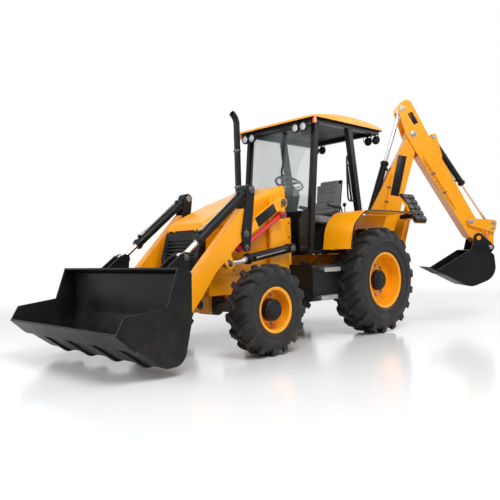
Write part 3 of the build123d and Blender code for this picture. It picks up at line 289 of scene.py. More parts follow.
# one finish from one dictionary: tone drift, dust, rubbed edges, rounded edge light and a fine bump
def makeFinish(name, spec):
    made, tree, shader = newFinish(name)
    tone = effect(tree, "tone", -900, 200, Color=tinted(spec["color"]), Shade=tinted(spec["shade"]),
                  Amount=spec["tone"])
    color = tone.outputs["Color"]
    rough = spread(tree, ramp(tree, tone.outputs["Cloud"], 0.2, 0.8), *spec["rough"])
    if "scrape" in spec:
        lines = effect(tree, "scrape", -700, -300, Stretch=spec["stretch"])
        amount = math2(tree, "MULTIPLY", lines.outputs["Mask"], spec["scrape"])
        color = mixColor(tree, amount, color, tinted(spec["scrapeColor"]))
        rough = math2(tree, "ADD", rough, math2(tree, "MULTIPLY", amount, -0.1), True)
    if "wear" in spec:
        rub = effect(tree, "rub", -500, 400, Amount=spec["wear"])
        color = mixColor(tree, rub.outputs["Mask"], color, tinted(spec["wearColor"]))
    dust = effect(tree, "dust", -200, 300, Top=spec.get("dustTop", 0.06), Low=spec.get("dustLow", 0.15))
    put(tree, color, dust.inputs["Color"])
    put(tree, dust.outputs["Color"], shader.inputs["Base Color"])
    rough = math2(tree, "ADD", rough, math2(tree, "MULTIPLY", dust.outputs["Mask"], 0.4), True)
    put(tree, rough, shader.inputs["Roughness"])
    setInputs(shader, {"Metallic": spec.get("metal", 0.0), "Specular IOR Level": spec.get("gloss", 0.3),
                       "Coat Weight": spec.get("coat", 0.0), "Coat Roughness": 0.08, "IOR": 1.5})
    place = node(tree, "ShaderNodeTexCoord", -900, -500)
    grain = noise(tree, place.outputs["Object"], spec.get("grainScale", 120.0), spec.get("grainDetail", 3.0), 0.5)
    bump = relief(tree, grain, spec["grain"], 0.002)
    soft = node(tree, "ShaderNodeBevel", -300, -600, samples=4)
    soft.inputs["Radius"].default_value = spec.get("round", 0.006)
    put(tree, soft.outputs["Normal"], bump.inputs["Normal"])
    return made


finishes = {
    "yellowPaint": {"color": (0.92, 0.36, 0.003), "shade": (0.78, 0.27, 0.002), "tone": 0.30,
                    "rough": (0.24, 0.34), "gloss": 0.30, "coat": 0.12, "wear": 0.25,
                    "wearColor": (0.30, 0.20, 0.10), "grain": 0.04, "grainScale": 160.0, "dustTop": 0.03,
                    "dustLow": 0.05, "round": 0.008},
    "blackPaint": {"color": (0.008, 0.0083, 0.0088), "shade": (0.015, 0.015, 0.0155), "tone": 0.5,
                   "rough": (0.26, 0.38), "gloss": 0.14, "wear": 0.35, "wearColor": (0.07, 0.07, 0.073),
                   "grain": 0.08, "grainScale": 180.0, "dustTop": 0.03, "dustLow": 0.05, "round": 0.006},
    "bucketBlack": {"color": (0.007, 0.0073, 0.0078), "shade": (0.014, 0.014, 0.0148), "tone": 0.6,
                    "rough": (0.28, 0.44), "gloss": 0.12, "scrape": 0.10, "scrapeColor": (0.06, 0.06, 0.063),
                    "stretch": (3.0, 30.0, 30.0), "wear": 0.45, "wearColor": (0.09, 0.09, 0.093), "grain": 0.12,
                    "grainScale": 70.0, "dustTop": 0.03, "dustLow": 0.045, "round": 0.008},
    "redPaint": {"color": (0.62, 0.035, 0.045), "shade": (0.45, 0.02, 0.03), "tone": 0.3, "rough": (0.22, 0.32),
                 "coat": 0.5, "wear": 0.2, "wearColor": (0.2, 0.1, 0.08), "grain": 0.04},
    "chromeRod": {"color": (0.78, 0.79, 0.81), "shade": (0.66, 0.67, 0.69), "tone": 0.4, "rough": (0.06, 0.16),
                  "metal": 1.0, "scrape": 0.25, "scrapeColor": (0.55, 0.56, 0.58), "stretch": (30.0, 30.0, 4.0),
                  "grain": 0.02, "dustTop": 0.02, "dustLow": 0.05, "round": 0.003},
    "pinSteel": {"color": (0.34, 0.335, 0.33), "shade": (0.22, 0.21, 0.20), "tone": 0.5, "rough": (0.26, 0.40),
                 "metal": 1.0, "wear": 0.3, "wearColor": (0.7, 0.7, 0.7), "grain": 0.06, "dustLow": 0.1,
                 "round": 0.004},
    "darkSteel": {"color": (0.11, 0.11, 0.115), "shade": (0.07, 0.07, 0.07), "tone": 0.5, "rough": (0.30, 0.44),
                  "metal": 1.0, "wear": 0.4, "wearColor": (0.4, 0.4, 0.4), "grain": 0.08, "dustLow": 0.05,
                  "round": 0.004},
    "tyreRubber": {"color": (0.014, 0.0143, 0.0152), "shade": (0.024, 0.0235, 0.023), "tone": 0.6,
                   "rough": (0.46, 0.66), "gloss": 0.2, "grain": 0.22, "grainScale": 220.0, "grainDetail": 5.0,
                   "dustTop": 0.04, "dustLow": 0.07, "round": 0.008},
    "blackPlastic": {"color": (0.010, 0.0103, 0.011), "shade": (0.018, 0.018, 0.0186), "tone": 0.5,
                     "rough": (0.40, 0.56), "gloss": 0.16, "grain": 0.25, "grainScale": 420.0, "dustTop": 0.06,
                     "dustLow": 0.1, "round": 0.006},
    "greyPlastic": {"color": (0.16, 0.165, 0.17), "shade": (0.11, 0.11, 0.115), "tone": 0.4, "rough": (0.38, 0.55),
                    "grain": 0.22, "grainScale": 420.0, "dustTop": 0.06, "dustLow": 0.1, "round": 0.006},
    "castIron": {"color": (0.05, 0.05, 0.052), "shade": (0.085, 0.075, 0.065), "tone": 0.6, "rough": (0.5, 0.7),
                 "metal": 0.5, "grain": 0.4, "grainScale": 130.0, "dustTop": 0.12, "dustLow": 0.3, "round": 0.008},
    "treadSteel": {"color": (0.42, 0.42, 0.42), "shade": (0.3, 0.29, 0.28), "tone": 0.5, "rough": (0.3, 0.5),
                   "metal": 0.9, "grain": 0.1, "dustLow": 0.12, "round": 0.003},
}
paint = {finishName: makeFinish(finishName, spec) for finishName, spec in finishes.items()}
print("finishes made:", len(paint))


# glass, lenses and cloth have their own trees
def makeGlass(name, color, rough, alpha):
    made, tree, shader = newFinish(name)
    place = node(tree, "ShaderNodeTexCoord", -900)
    smear = noise(tree, place.outputs["Object"], 3.5, 5.0, 0.6)
    put(tree, spread(tree, smear, rough * 0.4, rough * 1.6), shader.inputs["Roughness"])
    tint = mixColor(tree, ramp(tree, smear, 0.3, 0.8), tinted(color), tinted(color, 0.86))
    put(tree, tint, shader.inputs["Base Color"])
    setInputs(shader, {"Alpha": alpha, "IOR": 1.5, "Specular IOR Level": 0.6})
    return made


def makeLens(name, color, glow, pitch):
    made, tree, shader = newFinish(name)
    place = node(tree, "ShaderNodeTexCoord", -900)
    cells = node(tree, "ShaderNodeTexVoronoi", -600)
    cells.inputs["Scale"].default_value = pitch
    put(tree, place.outputs["Object"], cells.inputs["Vector"])
    facet = ramp(tree, cells.outputs["Distance"], 0.0, 0.6)
    put(tree, mixColor(tree, facet, tinted(color), tinted(color, 0.6)), shader.inputs["Base Color"])
    put(tree, spread(tree, facet, 0.08, 0.22), shader.inputs["Roughness"])
    setInputs(shader, {"Coat Weight": 0.8, "Emission Color": tinted(color), "Emission Strength": glow})
    relief(tree, facet, 0.3, 0.003)
    return made


def makeCloth(name, color, shade, pitch):
    made, tree, shader = newFinish(name)
    tone = effect(tree, "tone", -900, 200, Color=tinted(color), Shade=tinted(shade), Scale=4.0, Fine=260.0, Amount=0.5)
    place = node(tree, "ShaderNodeTexCoord", -900, -300)
    threads = []
    for axis in "XYZ":
        wave = node(tree, "ShaderNodeTexWave", -600, -300, wave_type="BANDS", bands_direction=axis)
        setInputs(wave, {"Scale": pitch, "Distortion": 0.6})
        put(tree, place.outputs["Object"], wave.inputs["Vector"])
        threads.append(wave.outputs["Fac"])
    weave = math2(tree, "MAXIMUM", math2(tree, "MAXIMUM", threads[0], threads[1]), threads[2])
    # painted shade: the gaps between the threads are coloured darker
    gapShade = math2(tree, "MULTIPLY", ramp(tree, weave, 0.9, 0.3), 0.5)
    dust = effect(tree, "dust", -200, 300, Top=0.05, Low=0.0)
    put(tree, mixColor(tree, gapShade, tone.outputs["Color"], tinted(shade, 0.5)), dust.inputs["Color"])
    put(tree, dust.outputs["Color"], shader.inputs["Base Color"])
    put(tree, spread(tree, weave, 0.9, 0.7), shader.inputs["Roughness"])
    setInputs(shader, {"Sheen Weight": 0.35, "Sheen Roughness": 0.5})
    relief(tree, weave, 0.35, 0.0012)
    return made


paint["tintGlass"] = makeGlass("tintGlass", (0.16, 0.20, 0.21), 0.03, 0.30)
paint["clearLens"] = makeLens("clearLens", (0.50, 0.52, 0.55), 0.03, 70.0)
paint["amberLens"] = makeLens("amberLens", (0.85, 0.20, 0.01), 0.12, 120.0)
paint["redLens"] = makeLens("redLens", (0.55, 0.01, 0.012), 0.08, 120.0)
paint["seatCloth"] = makeCloth("seatCloth", (0.20, 0.205, 0.215), (0.13, 0.132, 0.14), 260.0)
paint["darkCloth"] = makeCloth("darkCloth", (0.035, 0.036, 0.038), (0.022, 0.022, 0.024), 260.0)


# floor and sky
def seenRays(tree):  # rays that see the stage straight, mirrored or through glass
    path = node(tree, "ShaderNodeLightPath", -700, -300)
    seen = math2(tree, "MAXIMUM", path.outputs["Is Camera Ray"], path.outputs["Is Glossy Ray"])
    return math2(tree, "MAXIMUM", seen, path.outputs["Is Transmission Ray"])


def makeSky(spec):
    world = bpy.data.worlds.new("studio")
    scene.world = world
    world.use_nodes = True
    tree = world.node_tree
    tree.nodes.clear()
    out = node(tree, "ShaderNodeOutputWorld", 600)
    glow = node(tree, "ShaderNodeBackground", 0, 100)
    glow.inputs["Strength"].default_value = spec["fill"]
    place = node(tree, "ShaderNodeTexCoord", -900, -200)
    split = node(tree, "ShaderNodeSeparateXYZ", -700, -200)
    put(tree, place.outputs["Generated"], split.inputs[0])
    rise = ramp(tree, split.outputs["Z"], -0.1, 0.9)
    put(tree, mixColor(tree, rise, spec["low"], spec["high"]), glow.inputs["Color"])
    white = node(tree, "ShaderNodeBackground", 0, -100)
    setInputs(white, {"Color": (1, 1, 1, 1), "Strength": spec["seen"]})
    pick = node(tree, "ShaderNodeMixShader", 300)
    put(tree, seenRays(tree), pick.inputs[0])
    put(tree, glow.outputs[0], pick.inputs[1])
    put(tree, white.outputs[0], pick.inputs[2])
    put(tree, pick.outputs[0], out.inputs[0])


def makeFloor(spec):
    shape = bmesh.new()
    bmesh.ops.create_grid(shape, x_segments=2, y_segments=2, size=spec["half"])
    mesh = bpy.data.meshes.new("studioFloor")
    shape.to_mesh(mesh)
    shape.free()
    floor = bpy.data.objects.new("studioFloor", mesh)
    scene.collection.objects.link(floor)
    made, tree, shader = newFinish("studioFloor")
    place = node(tree, "ShaderNodeTexCoord", -900)
    far = node(tree, "ShaderNodeVectorMath", -700, operation="LENGTH")
    put(tree, place.outputs["Object"], far.inputs[0])
    fade = ramp(tree, far.outputs["Value"], spec["fadeFrom"], spec["fadeTo"])
    grain = math2(tree, "MULTIPLY", noise(tree, place.outputs["Object"], 40.0, 3.0), 0.05)
    put(tree, mixColor(tree, grain, spec["color"], spec["speck"]), shader.inputs["Base Color"])
    shader.inputs["Roughness"].default_value = spec["rough"]
    white = node(tree, "ShaderNodeEmission", 0, -300)
    pick = node(tree, "ShaderNodeMixShader", 300)
    put(tree, math2(tree, "MULTIPLY", fade, seenRays(tree)), pick.inputs[0])
    put(tree, shader.outputs[0], pick.inputs[1])
    put(tree, white.outputs[0], pick.inputs[2])
    put(tree, pick.outputs[0], tree.nodes["Material Output"].inputs["Surface"])
    mesh.materials.append(made)


makeSky(sky)
makeFloor(floorSet)
print("stage ready")

# finishes of the solids that stay as they are
solidFinish = {
    "yellowPaint": ["main_frame", "side_panels", "roof", "fenders", "bonnet", "loader_arms", "front_rim_left",
                    "front_rim_right", "rear_rim_left", "rear_rim_right", "boom", "dipper", "dig_lever", "dig_link",
                    "stabiliser_left", "stabiliser_right", "kingpost", "rear_frame"],
    "blackPaint": ["grille", "cab_floor", "side_tanks", "canopy_frame", "tilt_levers", "lift_barrels", "tilt_barrels",
                   "boom_barrel", "dipper_barrel", "dig_barrel", "leg_barrel_left", "leg_barrel_right", "exhaust"],
    "bucketBlack": ["loader_bucket", "dig_bucket"],
    "redPaint": ["levelling_links"],
    "chromeRod": ["lift_rods", "tilt_rods", "boom_rod", "dipper_rod", "dig_rod", "leg_rod_left", "leg_rod_right"],
    "pinSteel": ["bucket_pins", "tilt_pins", "track_rod"],
    "tyreRubber": ["front_tyre_left", "front_tyre_right", "rear_tyre_left", "rear_tyre_right"],
    "tintGlass": ["windscreen"],
    "blackPlastic": ["dash", "console", "work_lamps"],
    "greyPlastic": ["steering_wheel"],
    "seatCloth": ["seat"],
    "castIron": ["engine", "front_axle", "rear_axle", "knuckle_left", "knuckle_right"],
}
for finish, members in solidFinish.items():
    for member in members:
        slots = nodes[member].data.materials
        slots.clear()
        slots.append(paint[finish])
print("solids painted")


# small tools for pieces
def keep(shape, name, body, finish, bend=38, replaced=()):
    mesh = bpy.data.meshes.new(name)
    bmesh.ops.remove_doubles(shape, verts=shape.verts, dist=0.00005)
    bmesh.ops.recalc_face_normals(shape, faces=shape.faces)
    shape.to_mesh(mesh)
    shape.free()
    mesh.shade_smooth()
    mesh.set_sharp_from_angle(angle=math.radians(bend))
    for one in finish if isinstance(finish, (list, tuple)) else [finish]:
        mesh.materials.append(paint[one])
    piece = bpy.data.objects.new(name, mesh)
    scene.collection.objects.link(piece)
    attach(piece, body)
    if replaced:
        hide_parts(*replaced)
    return piece


def joined(target, part, place=Matrix.Identity(4), index=0):  # adds one shape to another at a place
    holder = bpy.data.meshes.new("holder")
    part.to_mesh(holder)
    holder.transform(place)
    if place.determinant() < 0:
        holder.flip_normals()
    for face in holder.polygons:
        face.material_index = index
    target.from_mesh(holder)
    bpy.data.meshes.remove(holder)


def added(target, part, place=Matrix.Identity(4), index=0):  # joins a shape that is used once
    joined(target, part, place, index)
    part.free()


def moved(x, y, z):  # place in millimetres from the rear axle
    return Matrix.Translation(at(x, y, z))


def tipped(degrees):  # turn about y
    return Matrix.Rotation(math.radians(degrees), 4, "Y")


def placed(spot, axis=(0, 0, 1), spin=0.0):  # points local z along an axis
    turn = Vector(axis).to_track_quat("Z", "Y").to_matrix().to_4x4()
    return Matrix.Translation(spot) @ turn @ Matrix.Rotation(spin, 4, "Z")


def framed(spot, along, out):  # local x along a way, local z out
    along, out = along.normalized(), out.normalized()
    return Matrix.Translation(spot) @ Matrix((along, out.cross(along), out)).transposed().to_4x4()


def softBox(size, round, segments=2):
    shape = bmesh.new()
    bmesh.ops.create_cube(shape, size=1.0)
    bmesh.ops.scale(shape, vec=size, verts=shape.verts)
    bmesh.ops.bevel(shape, geom=shape.edges[:], offset=round, segments=segments, affect="EDGES", profile=0.5,
                    material=-1)
    return shape


def lathe(outline, steps=48, hollow=False):  # (radius, height) outline turned about z, solid or as a ring
    shape = bmesh.new()
    ring = [shape.verts.new((radius, 0, height)) for radius, height in outline]
    edges = [shape.edges.new(pair) for pair in zip(ring, ring[1:] + ring[:1] if hollow else ring[1:])]
    bmesh.ops.spin(shape, geom=ring + edges, axis=(0, 0, 1), cent=(0, 0, 0), angle=math.tau, steps=steps,
                   use_merge=True)
    bmesh.ops.remove_doubles(shape, verts=shape.verts, dist=0.00002)
    holes = [e for e in shape.edges if e.is_boundary]
    if holes:
        bmesh.ops.holes_fill(shape, edges=holes, sides=0)
    bmesh.ops.recalc_face_normals(shape, faces=shape.faces)
    return shape


def hexBolt(across, high, washer=1.35):
    shape = bmesh.new()
    bmesh.ops.create_cone(shape, cap_ends=True, segments=6, radius1=across * 0.577, radius2=across * 0.577, depth=high)
    bmesh.ops.translate(shape, vec=(0, 0, high * 0.6), verts=shape.verts)
    rims = [e for e in shape.edges if min(v.co.z for v in e.verts) > high * 0.9]
    bmesh.ops.bevel(shape, geom=rims, offset=across * 0.08, segments=1, affect="EDGES", profile=0.5, material=-1)
    wide = across * 0.5 * washer
    added(shape, lathe([(0, 0), (wide, 0), (wide, high * 0.1), (0, high * 0.1)], 20))
    return shape


def pipe(points, radius, order=3, smooth=6, sides=4):  # mesh tube along a smooth line
    data = bpy.data.curves.new("line", "CURVE")
    data.dimensions = "3D"
    line = data.splines.new("NURBS")
    line.points.add(len(points) - 1)
    for spot, where in zip(line.points, points):
        spot.co = (*where, 1)
    line.order_u = order
    line.use_endpoint_u = True
    line.resolution_u = smooth
    data.bevel_depth = radius
    data.bevel_resolution = sides
    data.use_fill_caps = True
    holder = bpy.data.objects.new("line", data)
    mesh = bpy.data.meshes.new_from_object(holder)
    shape = bmesh.new()
    shape.from_mesh(mesh)
    bpy.data.objects.remove(holder)
    bpy.data.curves.remove(data)
    bpy.data.meshes.remove(mesh)
    return shape


# tyres: smooth carcass with two staggered rows of slanted lugs
tyreSet = {
    "front": {"x": 2170, "y": 962, "radius": 0.497, "half": 0.155, "rim": 0.250, "bead": 0.133,
              "lugs": 16, "lugHigh": 0.034, "lugWide": 0.062},
    "rear": {"x": 0, "y": 872, "radius": 0.705, "half": 0.215, "rim": 0.372, "bead": 0.185,
             "lugs": 18, "lugHigh": 0.042, "lugWide": 0.076},
}


def lugShape(spec):
    half, tread, wide = spec["half"], spec["radius"] - spec["lugHigh"], spec["lugWide"]
    skew = 0.6 * half
    lug = bmesh.new()
    bmesh.ops.create_cube(lug, size=1.0)
    for axis, cuts in ((0, 11), (1, 2)):
        runs = [e for e in lug.edges if abs(e.verts[0].co[axis] - e.verts[1].co[axis]) > 0.5]
        bmesh.ops.subdivide_edges(lug, edges=runs, cuts=cuts, use_grid_fill=True)
    for vert in lug.verts:  # x runs from nose to shoulder, y across the lug, z up
        share, side, up = vert.co.x + 0.5, vert.co.y * 2, vert.co.z + 0.5
        over = max(0.0, share - 0.78) / 0.22
        out = half * (-0.03 + share * 1.14) if share < 0.78 else half * (0.859 + over * 0.125)
        drop = 0.068 * over ** 1.4
        lowest = tread - 0.022 - drop
        top = spec["radius"] - 0.002 - drop * 0.82 - 0.004 * share ** 2
        reach = lowest + (top - lowest) * up
        width = wide * (0.40 + 0.20 * share) * (1.12 - 0.12 * up)
        lean = skew / 2 - skew * min(1.0, share * 1.06) - 0.012 * math.sin(share * math.pi)
        turn = (lean + side * width) / tread
        vert.co = (reach * math.sin(turn), out, reach * math.cos(turn))
    lug.normal_update()
    rims = [e for e in lug.edges if e.calc_face_angle(0) > 0.55]
    bmesh.ops.bevel(lug, geom=rims, offset=0.006, segments=2, affect="EDGES", profile=0.5, material=-1)
    return lug


def tyreShape(spec):
    half, tread, rim, bead = spec["half"], spec["radius"] - spec["lugHigh"], spec["rim"], spec["bead"]
    wall = (rim + tread) / 2
    profile = [(tread, 0.0), (tread - 0.002, half * 0.45), (tread - 0.012, half * 0.76), (tread - 0.032, half * 0.90),
               (tread - 0.062, half * 0.965), (wall + 0.02, half * 1.0), (wall + 0.010, half * 1.0),
               (wall + 0.006, half * 1.012), (wall - 0.006, half * 1.012), (wall - 0.010, half * 0.998),
               (rim + 0.045, half * 0.955), (rim + 0.040, half * 0.966), (rim + 0.030, half * 0.962),
               (rim + 0.026, half * 0.945), (rim + 0.010, bead + 0.010), (rim + 0.005, bead + 0.001),
               (rim - 0.010, bead - 0.002)]
    outline = [(r, -y) for r, y in reversed(profile[1:])] + profile
    tyre = lathe(outline, 128)
    inner = [f for f in tyre.faces if len(f.verts) > 8]
    bmesh.ops.delete(tyre, geom=inner, context="FACES")
    edges = [e for e in tyre.edges if e.is_boundary]
    bmesh.ops.bridge_loops(tyre, edges=edges)
    bmesh.ops.rotate(tyre, cent=(0, 0, 0), matrix=Matrix.Rotation(-math.pi / 2, 3, "X"), verts=tyre.verts)
    lug = lugShape(spec)
    step = math.tau / spec["lugs"]
    flip = Matrix.Scale(-1, 4, (0, 1, 0))
    for count in range(spec["lugs"]):
        joined(tyre, lug, Matrix.Rotation(step * count, 4, "Y"))
        joined(tyre, lug, Matrix.Rotation(step * (count + 0.5), 4, "Y") @ flip)
    lug.free()
    return tyre


for end, spec in tyreSet.items():
    for hand, sign in (("left", 1), ("right", -1)):
        tyre = bmesh.new()
        spot = moved(spec["x"], sign * spec["y"], spec["radius"] * 1000)
        added(tyre, tyreShape(spec), spot @ Matrix.Scale(sign, 4, (0, 1, 0)))
        keep(tyre, end + "Tyre" + hand.capitalize(), end + "_wheel_" + hand, "tyreRubber", 40,
             [end + "_tyre_" + hand])
print("tyres made")

# hubs: dark drum faces, cover rings, wheel nuts
hubSet = {
    "front": {"x": 2170, "y": 962, "z": 497, "drum": 0.122, "face": 0.121, "bolts": 12,
              "disc": -0.004, "nutRing": 0.168, "nuts": 8, "nut": 0.026},
    "rear": {"x": 0, "y": 872, "z": 705, "drum": 0.138, "face": 0.112, "bolts": 12,
             "disc": 0.024, "nutRing": 0.196, "nuts": 10, "nut": 0.030},
}


def boltCircle(target, bolt, middle, out, ring, count, shift=0.0):
    for step in range(count):
        turn = math.tau * (step + shift) / count
        joined(target, bolt, placed(middle + Vector((math.cos(turn), 0, math.sin(turn))) * ring, out, turn))
    bolt.free()


for end, spec in hubSet.items():
    for hand, sign in (("left", 1), ("right", -1)):
        body = end + "_wheel_" + hand
        middle = at(spec["x"], sign * spec["y"], spec["z"])
        outward = Vector((0, sign, 0))
        drum = spec["drum"]
        rim = nodes[end + "_rim_" + hand].data
        rim.materials.append(paint["blackPaint"])
        for face in rim.polygons:
            offset = face.center - middle
            if math.hypot(offset.x, offset.z) < drum + 0.002:
                face.material_index = 1
        cover = [(0, 0.018), (drum * 0.30, 0.018), (drum * 0.34, 0.014), (drum * 0.52, 0.013), (drum * 0.56, 0.009),
                 (drum * 0.80, 0.008), (drum * 0.83, 0.003), (drum * 0.83, -0.004), (0, -0.004)]
        whole = bmesh.new()
        added(whole, lathe(cover, 64), placed(middle + outward * spec["face"], outward))
        boltCircle(whole, hexBolt(0.016, 0.009), middle + outward * (spec["face"] + 0.007), outward, drum * 0.68,
                   spec["bolts"])
        keep(whole, end + "HubCover" + hand.capitalize(), body, "blackPaint", 35)
        ring = bmesh.new()
        boltCircle(ring, hexBolt(spec["nut"], spec["nut"] * 0.75, 1.5), middle + outward * spec["disc"], outward,
                   spec["nutRing"], spec["nuts"], 0.5)
        keep(ring, end + "WheelNuts" + hand.capitalize(), body, "pinSteel", 30)
print("hubs made")

trees = {}  # search trees of the solids that pieces are seated on
farOut = 1500  # rays start this far from the middle of the machine
armFar = 900  # and this far from the middle of the backhoe


def touch(names, start, way):  # nearest spot where a ray from outside meets the named solids
    best = None
    for name in names if isinstance(names, (list, tuple)) else [names]:
        if name not in trees:
            shape = bmesh.new()
            shape.from_mesh(nodes[name].data)
            trees[name] = BVHTree.FromBMesh(shape)
            shape.free()
        spot, _, _, reach = trees[name].ray_cast(Vector(start), Vector(way))
        if spot is not None and (best is None or reach < best[1]):
            best = (spot, reach)
    return best[0] if best else None


def seated(target, part, names, start, out, spin=0.0):  # sets a part on the solids, facing out
    spot = touch(names, start, -Vector(out))
    if spot is not None:
        joined(target, part, placed(spot, out, spin))


def repaint(name, extra, test):  # second finish on the faces of a solid that pass a test
    mesh = nodes[name].data
    mesh.materials.append(paint[extra])
    index = len(mesh.materials) - 1
    for face in mesh.polygons:
        if test(face):
            face.material_index = index


# pin ends with a collar, a keeper plate, its bolt and a grease nipple
nippleLine = [(0, 0.021), (0.0025, 0.021), (0.0045, 0.018), (0.003, 0.015), (0.0035, 0.013), (0.006, 0.012),
              (0.006, 0.005), (0, 0.005)]


def pinEnds(name, body, finish, solids, rays, radius, turn, keeper=True):
    collar = [(0, 0.007), (0.20, 0.007), (0.24, 0.0085), (0.74, 0.0085), (0.84, 0.006), (0.86, 0.002), (1.08, 0.002),
              (1.12, 0.0), (1.12, -0.004), (0, -0.004)]  # share of the radius, height
    head = lathe([(radius * share, high) for share, high in collar], 32)
    added(head, lathe(nippleLine, 12))
    if keeper:
        tab = softBox((radius * 0.62, radius * 1.5, 0.006), 0.0018)
        added(head, tab, Matrix.Translation((0, radius * 1.02, 0.003)))
        added(head, hexBolt(0.017, 0.010), Matrix.Translation((0, radius * 1.45, 0.006)))
    whole = bmesh.new()
    for start, out in rays:
        seated(whole, head, solids, start, out, turn)
    head.free()
    keep(whole, name + "Ends", body, finish, 32)


loaderPins = [  # name, body and solid, x, z, radius, turn of the keeper
    ("armPivot", "machine", "main_frame", 1497, 1711, 0.040, 2.4),
    ("linkPivot", "machine", "main_frame", 1497, 1561, 0.026, 2.4),
    ("liftFoot", "machine", "main_frame", 1348, 1161, 0.034, 2.0),
    ("leverPivot", "tilt_levers", "tilt_levers", 2140, 1330, 0.036, 0.3),
    ("leverFoot", "tilt_levers", "tilt_levers", 2140, 1180, 0.026, 2.8),
    ("leverHead", "tilt_pins", "tilt_pins", 2050, 1830, 0.040, 0.0),
    ("bucketFoot", "bucket_pins", "bucket_pins", 3090, 590, 0.038, 2.2),
    ("bucketTop", "loader_bucket", "loader_bucket", 3000, 1090, 0.030, 0.8),
    ("liftEye", "loader_arms", "loader_arms", 2380, 1000, 0.032, 0.6),
]
for name, body, solid, x, z, radius, turn in loaderPins:
    rays = [(at(x, sign * farOut, z), (0, sign, 0)) for sign in sides]
    pinEnds(name, body, "darkSteel", solid, rays, radius, turn, name not in ("leverHead", "bucketFoot"))

armPins = [  # name, body, solids, reach, height, radius, turn of the keeper
    ("boomFoot", "kingpost", ["kingpost", "boom"], 230, 900, 0.045, 2.4),
    ("boomRamFoot", "kingpost", "kingpost", 152, 1190, 0.028, 0.5),
    ("boomHead", "boom", "boom", 674, 2915, 0.045, 1.0),
    ("dipperRamFoot", "boom", "boom", -30, 1600, 0.030, 2.2),
    ("dipperTail", "dipper", "dipper", 509, 3329, 0.036, 2.6),
    ("digRamFoot", "dipper", "dipper", 1006, 2865, 0.030, 0.8),
    ("digLever", "dig_lever", ["dig_lever", "dipper"], 1535, 1505, 0.032, 1.2),
    ("digRamEye", "dig_lever", "dig_lever", 1880, 1478, 0.030, 0.0),
    ("digLink", "dig_lever", ["dig_lever", "dig_link"], 1865, 1390, 0.026, 0.0),
    ("digLinkEye", "dig_bucket", "dig_bucket", 1850, 1100, 0.028, 1.0),
]
for name, body, solids, reach, z, radius, turn in armPins:
    rays = [(onArm(reach, sign * armFar, z), armSide * sign) for sign in sides]
    pinEnds(name, body, "pinSteel", solids, rays, radius, turn, name not in ("boomHead", "digRamEye", "digLink"))

legPlane = -930
for name, y, z, radius in (("legPivot", 430, 640, 0.030), ("legRamFoot", 430, 1300, 0.024)):
    rays = [(at(legPlane + way * armFar, sign * y, z), (way, 0, 0)) for sign in sides for way in sides]
    pinEnds(name, "machine", "pinSteel", "rear_frame", rays, radius, 0.6)
print("pins dressed")

# rams: gland ring with spanner notches, wiper, port blocks and a steel pipe along the barrel
ramSet = [  # name, body, foot, eye, side of the plane, length, barrel radius, rod radius, pipe side
    ("lift", "lift_barrels", (1348, 1161), (2380, 1000), 575, 760, 52, 30, -1),
    ("tilt", "tilt_barrels", (2050, 1830), (3000, 1090), 575, 960, 50, 28, 1),
    ("boomRam", "boom_barrel", (152, 1190), (440, 2134), None, 690, 50, 30, -1),
    ("dipperRam", "dipper_barrel", (-30, 1600), (509, 3329), None, 960, 54, 32, 1),
    ("digRam", "dig_barrel", (1006, 2865), (1880, 1478), None, 890, 46, 27, 1),
    ("legRamLeft", "leg_barrel_left", (430, 1300), (607, 777), "left", 430, 40, 22, 1),
    ("legRamRight", "leg_barrel_right", (430, 1300), (607, 777), "right", 430, 40, 22, 1),
]


def ramPoint(plane, side):  # maps plane coordinates of a ram to the frame
    if plane == "left":
        return lambda u, v, w: at(legPlane + w, u, v)
    if plane == "right":
        return lambda u, v, w: at(legPlane + w, -u, v)
    if plane is None:
        return lambda u, v, w: onArm(u, w, v)
    return lambda u, v, w: at(u, side * (plane + w), v)


